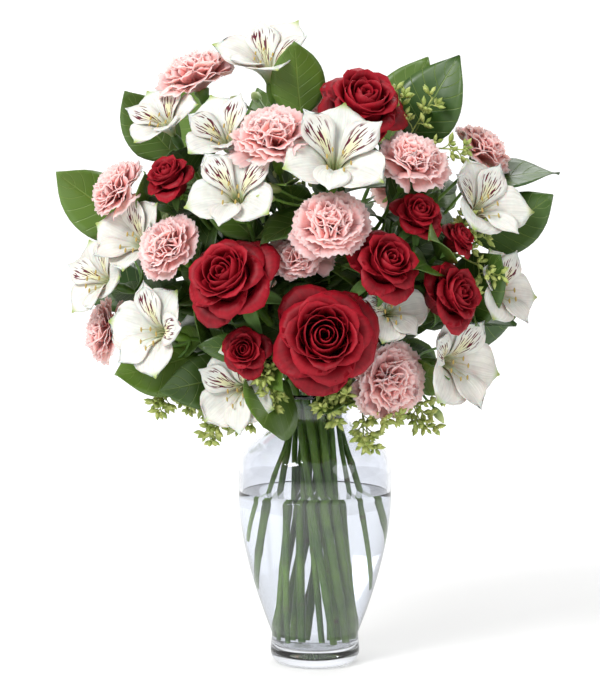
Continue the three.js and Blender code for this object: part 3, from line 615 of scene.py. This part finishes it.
# Carnations: pale pink, each with some fifty toothed and crumpled petals bursting from a smooth green tube.
# The deeper, more saturated pink towards each carnation petal's foot is partly the flower's own colour and
# partly painted shade for the folds between the petals.
carnation_skin = petal_material(
    "carnation_petal", (0.95, 0.41, 0.385), (0.92, 0.20, 0.175), (0.96, 0.55, 0.52),
    0.72, 0.86, 0.05, 0.04, 0.65, 0.05, 0.2)
set_inputs(carnation_skin.node_tree, carnation_skin.node_tree.nodes["Principled BSDF"], {
    "Subsurface Weight": 0.6, "Subsurface Scale": 0.010, "Subsurface Radius": (1.0, 0.45, 0.38)})
carnation_petals = 48


def carnation_petal(half, t, turn, rng, rows=9, columns=15):
    """One fan-shaped petal with a narrow claw, from nearly upright in the middle to spread at the outside."""
    v, u = petal_lines(rows, columns)
    reach = half * (1.0 + 0.12 * t) * rng.uniform(0.92, 1.08)
    lean = math.radians(96 - 80 * t) + math.radians(rng.uniform(-9, 9)) - math.radians(30 * t) * v**2
    lean = lean + math.radians(20) * (1 - v)
    tooth = 0.035 * np.where(np.arange(columns) % 2, 1.0, -0.6)[None, :] * (v > 0.99)
    length = v * (1 - 0.2 * np.abs(u) ** 3) + tooth
    r, z = traced(lean, np.diff(length, axis=0) * reach)
    wide = half * (0.07 + 0.56 * eased(v / 0.95) * rng.uniform(0.85, 1.15))
    side = u * wide * (1 - 0.12 * u * u)
    crumple = rng.uniform(0, 6.28, 3)
    push = np.sin(rng.uniform(3.6, 5.4) * u + crumple[0]) * 0.052 * v**1.4
    push = push + np.sin(rng.uniform(7, 10) * u + 3 * v + crumple[1]) * 0.026 * v**2.5
    push = push + rng.uniform(-0.35, 0.35) * (u * u - 0.3) * v * 0.5
    push = push * half * 1.15
    r = r + push * np.sin(lean) * -1 + half * 0.08 * t
    z = z + push * np.cos(lean)
    return swung(r, side, z, turn)


tubes = []
for seed, node in heads("carnation"):
    rng = np.random.default_rng(80 + seed)
    foot, basis, across = head_frame(node)
    head_balls.append((foot + basis[2] * across * 0.75, across * 0.55))
    basis = towards_viewer(basis, 0.25)
    half = across * 0.60
    bloom = Sheets()
    for i in range(carnation_petals):
        t = (i / (carnation_petals - 1)) ** 0.8
        grid = carnation_petal(half, t, i * golden_turn + rng.uniform(-0.3, 0.3), rng)
        bloom.add(grid + (0, 0, across * (0.46 - 0.05 * (1 - t))), 0.0003, rng.uniform(-1, 1))
    piece = bloom.piece(node + "_petals", carnation_skin, foot, basis)
    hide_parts(node)
    tubes.append(cup_line(foot, basis, [(0.0016, 0), (0.0030, 0.002), (across * 0.085, 0.006),
                                        (across * 0.09, across * 0.36), (across * 0.13, across * 0.45),
                                        (across * 0.08, across * 0.50)]))
piece = rods_along("carnation_tubes", tubes, stem_skin, 14)

# Alstroemeria: white lily-like flowers with three broad outer petals tipped in green and three narrower
# inner ones, the upper two flushed yellow and dashed in maroon, round six curved stamens.
alstroemeria_open = 1.28
outer_width = ([0, .12, .26, .42, .58, .72, .85, .94, 1], [.12, .20, .42, .74, .96, 1.0, .86, .55, .10])
bud_width = ([0, .15, .45, .8, 1], [.06, .17, .23, .13, .02])
inner_width = ([0, .15, .30, .46, .62, .76, .88, .95, 1], [.14, .17, .28, .56, .90, 1.0, .80, .48, .07])


def marking_group():
    """Markings of an alstroemeria petal over its white skin, from its UV map and its kind number."""
    group = bpy.data.node_groups.new("alstroemeria_markings", "ShaderNodeTree")
    group.interface.new_socket("Skin", in_out="INPUT", socket_type="NodeSocketColor")
    group.interface.new_socket("Color", in_out="OUTPUT", socket_type="NodeSocketColor")
    given = add_node(group, "NodeGroupInput").outputs
    uv, side, along = petal_place(group)
    kind = own_number(group, "kind")["Fac"]

    def product(*values):
        result = values[0]
        for value in values[1:]:
            result = calculated(group, "MULTIPLY", result, value)
        return result

    middle = product(ramped(group, side, 0.12, 0.42), ramped(group, side, 0.88, 0.58))
    streaked = ramped(group, kind, 0.7, 0.9)
    plain = ramped(group, kind, 0.4, 0.1)
    throat = product(ramped(group, along, 0.16, 0.30), ramped(group, along, 0.74, 0.5), middle, streaked)
    yellowed = mixed(group, throat, given["Skin"], (0.74, 0.69, 0.44, 1))
    greened = mixed(group, ramped(group, along, 0.34, 0.05), yellowed, (0.36, 0.44, 0.16, 1))
    tip = product(ramped(group, along, 0.86, 0.99), middle, plain)
    tipped = mixed(group, tip, greened, (0.34, 0.44, 0.12, 1))
    dashes = noise(group, scaled(group, uv, (19.0, 6.0, 1.0), own_number(group, "tone")["Vector"]), 1.0, 0.0)
    dash = product(
        ramped(group, dashes, 0.56, 0.60),
        ramped(group, along, 0.26, 0.34),
        ramped(group, along, 0.88, 0.76),
        ramped(group, side, 0.10, 0.22),
        ramped(group, side, 0.90, 0.78),
        streaked,
    )
    add_node(group, "NodeGroupOutput", {"Color": mixed(group, dash, tipped, (0.10, 0.006, 0.02, 1))})
    return group


alstroemeria_skin = petal_material(
    "alstroemeria_petal", (0.68, 0.67, 0.62), (0.54, 0.58, 0.38), (0.70, 0.68, 0.64),
    0.5, 0.9, 0.07, 0.04, 0.42, 0.05, 0.7)
tree = alstroemeria_skin.node_tree
markings = tree.nodes.new("ShaderNodeGroup")
markings.node_tree = marking_group()
plain_skin = [n for n in tree.nodes if n.type == "GROUP" and n.node_tree == petal_skin][0]
set_inputs(tree, markings, {"Skin": plain_skin.outputs["Color"]})
set_inputs(tree, tree.nodes["Principled BSDF"], {
    "Base Color": markings.outputs["Color"], "Subsurface Weight": 0.2, "Subsurface Scale": 0.003})


def marked_material(name, plain, marked, roughness):
    """A plain colour that turns into another where a rod's mark is 1."""
    material = new_material(name, {"Roughness": roughness})
    tree = material.node_tree
    body = mixed(tree, own_number(tree, "mark")["Fac"], (*plain, 1), (*marked, 1))
    set_inputs(tree, tree.nodes["Principled BSDF"], {"Base Color": body})
    return material


pollen = marked_material("stamen", (0.58, 0.56, 0.34), (0.42, 0.30, 0.08), 0.7)
bud_skin = marked_material("bud", (0.10, 0.21, 0.03), (0.44, 0.50, 0.20), 0.45)


def tepal(size, width_line, half_width, lean_low, lean_high, turn, rng, curl, rows=12, columns=9):
    """One petal from the throat: a narrow channelled claw opening to a broad blade with waved edges."""
    v, u = petal_lines(rows, columns)
    lean = lean_low + (lean_high - lean_low) * eased(v / 0.7) - curl * np.clip(v - 0.6, 0, 1) ** 1.5
    long = size * 0.64 * rng.uniform(0.95, 1.05)
    length = v * (1 - 0.10 * u * u * eased(v)) * long
    r, z = traced(lean, np.diff(length, axis=0))
    r = r + size * 0.025
    wide = half_width * np.interp(v, *width_line)
    side = u * wide
    wave = rng.uniform(0, 6.28)
    lift = wide * (0.42 - 0.25 * v) * u * u + size * 0.024 * np.sin(7 * v + wave) * np.abs(u) ** 2.5 * v
    lift = lift - size * 0.008 * np.exp(-((u / 0.14) ** 2)) * np.sin(np.pi * v)
    r = r - lift * np.sin(lean)
    z = z + lift * np.cos(lean)
    return swung(r, side, z, turn)


stamens, ovaries, buds = [], [], []
for seed, node in heads("alstroemeria"):
    rng = np.random.default_rng(120 + seed)
    foot, basis, across = head_frame(node)
    ball = foot + basis[2] * across * 0.62
    head_balls.append((ball, across * 0.60))
    facing = towards_viewer(basis, 0.75)
    size = across * alstroemeria_open
    throat = foot + basis[2] * across * 0.26
    bloom = Sheets()
    roll = rng.uniform(-0.8, 0.8)
    opened = rng.uniform(-8, 8)
    for turn in (90, 212, 328):
        grid = tepal(size, outer_width, size * 0.245, math.radians(76), math.radians(24 + opened),
                     math.radians(turn) + roll, rng, rng.uniform(0.4, 1.4))
        bloom.add(grid, 0.0005, rng.uniform(-1, 1), 0.0)
    for turn, kind in ((44, 1.0), (136, 1.0), (270, 0.5)):
        grid = tepal(size, inner_width, size * 0.165, math.radians(80), math.radians(30 + opened),
                     math.radians(turn) + roll, rng, rng.uniform(0.0, 0.8))
        bloom.add(grid + (0, 0, size * 0.01), 0.0005, rng.uniform(-1, 1), kind)
    piece = bloom.piece(node + "_petals", alstroemeria_skin, throat, facing)
    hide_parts(node)
    for k in range(6):
        turn = roll + k * 1.047 + rng.uniform(-0.2, 0.2)
        s = np.linspace(0, 1, 6)
        out = size * (0.01 + 0.07 * s) + size * 0.05 * s * rng.uniform(0, 1)
        line = np.stack([out * math.cos(turn), out * math.sin(turn) - size * 0.07 * s**2,
                         size * 0.34 * s], -1)
        stamens.append((line @ facing + throat, np.full(6, 0.0003), np.zeros(6)))
        anther = line[-1] + np.linspace(-0.0017, 0.0017, 6)[:, None] * np.array((0, 1, 0.2))
        stamens.append((anther @ facing + throat, np.array([2, 6, 7, 7, 6, 2]) * 0.0001, np.ones(6)))
    ovaries.append(cup_line(foot, basis, [(0.0014, 0), (0.0026, 0.003), (0.0034, 0.008),
                                          (0.0030, across * 0.2), (0.0022, across * 0.275)]))
    outward = foot - np.array((0.0, 0.0, 0.22))
    for k in range(2):
        best, best_room = None, -1.0
        for _ in range(8):
            aside = outward / np.linalg.norm(outward) * 0.9 + rng.normal(0, 0.6, 3)
            aside = aside - basis[2] * (aside @ basis[2])
            aside /= np.linalg.norm(aside)
            bud = foot + basis[2] * across * 0.10 + aside * across * rng.uniform(0.5, 0.7)
            room = min(np.linalg.norm(bud - middle) - radius
                       for middle, radius in head_balls if middle is not ball)
            if room > best_room:
                best, best_room = (bud, aside), room
        bud, aside = best
        rise = basis[2] * 0.35 + aside * 0.9
        rise /= np.linalg.norm(rise)
        s = np.linspace(0, 1, 6)[:, None]
        stalk = foot + (bud - foot) * s - basis[2] * across * 0.10 * np.sin(math.pi * s)
        buds.append((stalk, np.full(6, 0.0009), np.zeros(6)))
        long = rng.uniform(0.014, 0.019)
        s = np.linspace(0, 1, 9)
        buds.append((bud + rise * long * s[:, None], long * np.interp(s, *bud_width),
                     np.clip(0.1 + 1.2 * s, 0, 1)))
for name, chains, material, sides, slot in (("stamens", stamens, pollen, 6, "alstroemeria_petals"),
                                            ("ovaries", ovaries, stem_skin, 12, "stem_green"),
                                            ("buds", buds, bud_skin, 12, "stem_green")):
    piece = rods_along("alstroemeria_" + name, chains, material, sides)

# Bloom stems: cut green stems, thicker at their joints, that cross in the neck of the vase and fork above
# its rim to carry each head. Each is a round rod drawn along the line of its own solid.
def read_stem(node):
    """Centre lines of a stem and what hangs on its tips, from its CAD solid: small rings of corners joined
    by long edges. Gives chains of (points, radii), and for each tip its place and the loose corners on it."""
    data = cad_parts[node].data
    corners = np.array([v.co for v in data.vertices]).round(5)
    points, index = np.unique(corners, axis=0, return_inverse=True)
    faces = index.reshape(-1)[np.array([list(p.vertices) for p in data.polygons])]
    edges = np.vstack([faces[:, [0, 1]], faces[:, [1, 2]], faces[:, [2, 0]]])
    edges = np.unique(np.sort(edges, axis=1), axis=0)
    lengths = np.linalg.norm(points[edges[:, 0]] - points[edges[:, 1]], axis=1)
    short = edges[lengths < 0.004]
    group = np.arange(len(points))
    for _ in range(200):
        low = np.minimum(group[short[:, 0]], group[short[:, 1]])
        np.minimum.at(group, short[:, 0], low)
        np.minimum.at(group, short[:, 1], low)
    _, member = np.unique(group, return_inverse=True)
    count = np.bincount(member)
    centres = np.stack([np.bincount(member, points[:, k]) / count for k in range(3)], -1)
    radii = np.bincount(member, np.linalg.norm(points - centres[member], axis=1)) / count
    pairs = np.unique(np.sort(member[edges], axis=1), axis=0)
    pairs = pairs[pairs[:, 0] != pairs[:, 1]]
    apart = np.linalg.norm(centres[pairs[:, 0]] - centres[pairs[:, 1]], axis=1)
    tree, root = {}, np.arange(len(count))
    for a, b in pairs[np.argsort(apart)]:
        if count[a] >= 3 and count[b] >= 3 and root[a] != root[b]:
            root[root == root[b]] = root[a]
            tree.setdefault(a, []).append(b)
            tree.setdefault(b, []).append(a)
    start = min(tree, key=lambda k: centres[k][2])
    chains, tips, todo = [], [], [(None, start)]
    while todo:
        before, here = todo.pop()
        chain = [here] if before is None else [before, here]
        while True:
            onward = [k for k in tree[chain[-1]] if len(chain) < 2 or k != chain[-2]]
            if len(onward) != 1:
                break
            chain.append(onward[0])
        todo += [(chain[-1], k) for k in onward]
        ring = radii[chain].copy()
        usual = np.median(ring)
        ring[ring > usual * 1.5] = usual
        chains.append((centres[chain], ring))
        if not onward:
            tips.append(chain[-1])
    hung = []
    for tip in tips:
        found, edge_of = set(), [tip]
        while edge_of:
            here = edge_of.pop()
            for a, b in pairs:
                other = b if a == here else a if b == here else None
                if other is not None and count[other] < 3 and other not in found:
                    found.add(other)
                    edge_of.append(other)
        hung.append((centres[tip], points[np.isin(member, list(found))]))
    return chains, hung


def smooth_line(points, radii, step=0.004):
    """A finer line through the points by Catmull-Rom, with the radius carried along."""
    ends = np.vstack([2 * points[0] - points[1], points, 2 * points[-1] - points[-2]])
    line, widths = [], []
    for i in range(len(points) - 1):
        a, b, c, d = ends[i:i + 4]
        count = max(int(np.linalg.norm(c - b) / step), 1)
        for s in np.arange(count) / count:
            line.append(0.5 * (2 * b + (c - a) * s + (2 * a - 5 * b + 4 * c - d) * s**2
                               + (3 * b - a - 3 * c + d) * s**3))
            widths.append(radii[i] + (radii[i + 1] - radii[i]) * s)
    return np.array(line + [points[-1]]), np.array(widths + [radii[-1]])


joint_spacing = 0.036


def stem_rods(name, chains, material, sides, rng):
    """A stem's trunk and branches as rods, with a slight swelling and scar at each joint."""
    lines = []
    for points, radii in chains:
        line, widths = smooth_line(points, radii)
        run = np.concatenate([[0], np.cumsum(np.linalg.norm(np.diff(line, axis=0), axis=1))])
        swell = np.zeros(len(run))
        for joint in np.arange(rng.uniform(0.01, joint_spacing), run[-1] - 0.01, joint_spacing):
            swell = np.maximum(swell, np.exp(-(((run - joint - rng.uniform(-0.006, 0.006)) / 0.0028) ** 2)))
        lines.append((line, widths * (1.04 + 0.2 * swell), swell * rng.uniform(0.4, 1.0)))
    return rods_along(name, lines, material, sides)


bloom_chains = {}
for seed, node in enumerate(sorted(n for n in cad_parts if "_stem_" in n)):
    chains, _ = read_stem(node)
    bloom_chains[node] = chains
    piece = stem_rods(node + "_rod", chains, stem_skin, 10, np.random.default_rng(200 + seed))
    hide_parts(node)

# Leaf sprigs: broad leathery salal leaves, pointed and slightly folded along a pale midrib, on thin woody
# green stems.
leaf_skin = new_material("leaf", {})
tree = leaf_skin.node_tree
_, side, along = petal_place(tree)
off_middle = calculated(tree, "ABSOLUTE", calculated(tree, "SUBTRACT", side, 0.5))
row = calculated(tree, "MULTIPLY", calculated(tree, "MULTIPLY_ADD", off_middle, -0.42, along), 8.0)
side_vein = ramped(tree, calculated(tree, "PINGPONG", row, 0.5), 0.06, 0.0)
vein = calculated(tree, "MAXIMUM", ramped(tree, off_middle, 0.022, 0.006), side_vein)
patch = noise(tree, object_place(tree), 45.0, 4.0)
tone = own_number(tree, "tone")["Fac"]
body = mixed(tree, ramped(tree, tone, -1, 1), (0.024, 0.066, 0.009, 1), (0.110, 0.200, 0.024, 1))
body = mixed(tree, ramped(tree, patch, 0.4, 0.75, 0.0, 0.45), body, (0.075, 0.140, 0.018, 1))
body = mixed(tree, ramped(tree, vein, 0, 1, 0, 0.45), body, (0.21, 0.30, 0.06, 1))
set_inputs(tree, tree.nodes["Principled BSDF"], {
    "Base Color": body, "Normal": relief(tree, vein, 0.5, 0.0006, invert=True),
    "Roughness": ramped(tree, patch, 0.3, 0.7, 0.30, 0.48)})
leaf_line = ([0, .05, .15, .28, .42, .58, .74, .87, .95, 1],
             [.03, .26, .66, .94, 1.0, .92, .68, .36, .14, .01])


def leaf_grid(long, broad, droop, fold, rng, rows=14, columns=9):
    """A leaf from its foot along Y, its upper face +Z: pointed oval, folded at the midrib, drooping."""
    v, u = petal_lines(rows, columns)
    wide = broad / 2 * np.interp(v, *leaf_line)
    angle = -droop * v**1.3
    step = long / (rows - 1)
    y = np.concatenate([[0], np.cumsum(np.cos(angle[1:, 0]) * step)])[:, None]
    z = np.concatenate([[0], np.cumsum(np.sin(angle[1:, 0]) * step)])[:, None]
    twist = rng.uniform(-0.25, 0.25) * v
    wave = rng.uniform(0, 6.28)
    lift = fold * np.abs(u) * wide + long * 0.02 * np.sin(9 * v + wave + 1.3 * np.sign(u)) * u * u
    x = u * wide * np.cos(twist) - lift * np.sin(twist)
    rise = lift * np.cos(twist) + u * wide * np.sin(twist)
    return np.stack([x, y - rise * np.sin(angle), z + rise * np.cos(angle)], -1)


def leaf_basis(axis, upper):
    axis = axis / np.linalg.norm(axis)
    across = np.cross(axis, upper)
    across /= np.linalg.norm(across)
    return np.array([across, axis, np.cross(across, axis)])


def in_heads(points, share):
    """Whether any of the points is inside a flower head, taken as a ball with a share of its radius."""
    return any((np.linalg.norm(points - middle, axis=1) < radius * share).any()
               for middle, radius in head_balls)


def place_leaf(sheets, foot, axis, upper, long, broad, rng, tone, droop=0.5, fold=0.16, rows=14, columns=9):
    grid = leaf_grid(long, broad, droop, fold, rng, rows, columns)
    sheets.add(grid @ leaf_basis(axis, upper) + foot, 0.0005, tone)


for seed, node in enumerate(sorted(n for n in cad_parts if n.startswith("leaf_sprig"))):
    rng = np.random.default_rng(260 + seed)
    chains, hung = read_stem(node)
    leaves = Sheets()
    for foot, blade in hung:
        far = blade[np.argmax(np.linalg.norm(blade - foot, axis=1))]
        axis = far - foot
        long = np.linalg.norm(axis)
        axis = axis / long
        spread = np.linalg.svd(blade - blade.mean(axis=0))[2]
        upper = spread[2]
        broad = np.ptp((blade - foot) @ np.cross(upper, axis))
        if upper @ (far - np.array((0.0, 0.0, 0.26))) < 0:
            upper = -upper
        for _ in range(5):
            end = foot + axis * long * np.array([[0.8], [1.04]])
            if in_heads(end, 0.85):
                long, broad = long * 0.93, broad * 0.96
        place_leaf(leaves, foot, axis + 0.18 * upper, upper, long * 1.05, broad * 1.12, rng,
                   rng.uniform(-1, 0.8), rng.uniform(0.35, 0.8), rng.uniform(0.08, 0.24))
    piece = leaves.piece(node + "_leaves", leaf_skin)
    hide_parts(node)
    piece = stem_rods(node + "_rod", chains, stem_skin, 8, rng)

# Stem leaves: the narrow leaves left on the bloom stems where they fork, which close the gaps between the
# heads with dark green.
stem_leaves = Sheets()
rng = np.random.default_rng(300)
for node, chains in sorted(bloom_chains.items()):
    for points, radii in chains:
        line, _ = smooth_line(points, radii)
        above = line[line[:, 2] > 0.215]
        if len(above) < 4:
            continue
        for share in (0.12, 0.26, 0.38, 0.5, 0.62, 0.74, 0.86):
            k = min(int(share * len(above)), len(above) - 2)
            ahead = above[k + 1] - above[k - 1]
            ahead = ahead / np.linalg.norm(ahead)
            away = above[k] - np.array((0.0, 0.0, 0.212))
            for _ in range(14):
                long = rng.uniform(0.036, 0.058)
                level_side = np.cross(away / np.linalg.norm(away), (0, 0, 1.0))
                sideways = level_side * rng.choice((-1, 1)) + rng.normal(0, 0.35, 3)
                pointing = ahead * 0.7 + sideways / np.linalg.norm(sideways) * 0.8
                pointing /= np.linalg.norm(pointing)
                reach = above[k] + pointing * long * np.array([[0.7], [1.0]])
                if reach[:, 2].min() > vase_height + 0.012 and not in_heads(reach, 0.95):
                    break
            else:
                continue
            place_leaf(stem_leaves, above[k], pointing, away, long,
                       long * rng.uniform(0.45, 0.65), rng, rng.uniform(-1, 0.3),
                       rng.uniform(0.2, 0.8), 0.2, 9, 7)
piece = stem_leaves.piece("stem_leaves", leaf_skin)

# Seeded eucalyptus: loose clusters of small pointed yellow-green seed buds on thread-fine stalks.
seed_skin = new_material("seed", {"Roughness": 0.5})
tree = seed_skin.node_tree
patch = noise(tree, object_place(tree), 160.0)
body = mixed(tree, ramped(tree, patch, 0.35, 0.65), (0.24, 0.32, 0.06, 1), (0.49, 0.54, 0.16, 1))
set_inputs(tree, tree.nodes["Principled BSDF"], {"Base Color": body})
seed_long, seed_wide = 0.0076, 0.0033
seed_line = [(0, 0), (0.22, 0.02), (0.62, 0.18), (1.0, 0.42), (0.92, 0.62), (0.42, 0.82), (0, 1.0)]
seed_shape = turned("seed_shape", [(r * seed_wide / 2, z * seed_long) for r, z in seed_line], 7, seed_skin)


def seed_tree():
    """Geometry Nodes that stand one small shape on each point, along the point's aim and at its size."""
    tree, given = geometry_tree("seeds", (
        ("Points", "Geometry"), ("Shape", "Object"), ("Material", "Material")))
    shape = add_node(tree, "GeometryNodeObjectInfo", {"Object": given["Shape"]})
    aim = point_number(tree, "aim", "FLOAT_VECTOR")
    turn = add_node(tree, "FunctionNodeAlignRotationToVector", {"Vector": aim}, axis="Z")
    stand = add_node(tree, "GeometryNodeInstanceOnPoints", {
        "Points": given["Points"], "Instance": shape.outputs["Geometry"],
        "Rotation": turn.outputs["Rotation"], "Scale": point_number(tree, "big")})
    return finish_tree(tree, stand.outputs["Instances"], given["Material"])


seeds = seed_tree()
for number, node in enumerate(sorted(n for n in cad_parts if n.startswith("seed_sprig"))):
    rng = np.random.default_rng(330 + number)
    chains, hung = read_stem(node)
    places, aims, sizes, stalks = [], [], [], []
    fans = []
    for foot, spindle in hung:
        axis = spindle[np.argmax(np.linalg.norm(spindle - foot, axis=1))] - foot
        long = np.linalg.norm(axis) * 1.15
        axis /= np.linalg.norm(axis)
        swing = np.cross(axis, (0.0, 1.0, 0.0))
        fans.append((foot, axis, long))
        for turn, hang in ((-1, 0.35), (0, 1.1), (1, 0.35)):
            aside = axis * 0.75 + turn * swing * rng.uniform(0.5, 0.8) + (0, rng.uniform(-0.3, 0.1), -hang)
            aside /= np.linalg.norm(aside)
            start = foot - axis * rng.uniform(0.0, 0.012)
            end = start + aside * (0.014 + long)
            near_vase = math.hypot(end[0], end[1]) < vase_outside(min(end[2], vase_height)) + 0.013
            if near_vase and end[2] < vase_height + 0.006:
                continue
            side_line = np.array([start, start + aside * 0.008, start + aside * 0.016])
            stalks.append((side_line, np.full(3, 0.0006)))
            fans.append((start + aside * 0.014, aside, long * rng.uniform(0.75, 0.95)))
    for foot, axis, long in fans:
        side = np.cross(axis, (0.3, 0.5, 0.8))
        side /= np.linalg.norm(side)
        other = np.cross(axis, side)
        middle_line = np.array([foot, foot + axis * long * 0.5, foot + axis * long * 0.82])
        stalks.append((middle_line, np.full(3, 0.0005)))
        for k in range(6):
            start = foot + axis * long * (0.12 + 0.13 * k)
            turn = k * golden_turn + rng.uniform(-0.3, 0.3)
            out = side * math.cos(turn) + other * math.sin(turn)
            hub = start + (out * 0.8 + axis * 0.6) * long * (0.20 - 0.018 * k) + (0, 0, -0.001)
            stalks.append((np.array([start, (start + hub) / 2 + axis * 0.0006, hub]), np.full(3, 0.0004)))
            for j in range(5):
                spin = turn + j * 1.3 + rng.uniform(-0.3, 0.3)
                lean = side * math.cos(spin) + other * math.sin(spin)
                aim = out * 0.7 + axis * 0.5 + lean * 0.9 + rng.normal(0, 0.15, 3)
                aim /= np.linalg.norm(aim)
                places.append(hub + aim * 0.0016)
                aims.append(aim)
                sizes.append(rng.uniform(0.72, 1.08))
                stalks.append((np.array([hub, hub + aim * 0.0019]), np.full(2, 0.00035)))
    base = bpy.data.meshes.new(node)
    base.from_pydata(np.array(places).tolist(), [], [])
    base.attributes.new("aim", "FLOAT_VECTOR", "POINT").data.foreach_set("vector", np.array(aims).reshape(-1))
    base.attributes.new("big", "FLOAT", "POINT").data.foreach_set("value", np.array(sizes))
    piece = grown(node + "_seeds", base, seeds, {"Shape": seed_shape, "Material": seed_skin})
    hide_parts(node)
    piece = stem_rods(node + "_stalks", stalks, seed_skin, 4, rng)
    piece = stem_rods(node + "_rod", chains, stem_skin, 8, rng)
bpy.data.objects.remove(seed_shape)
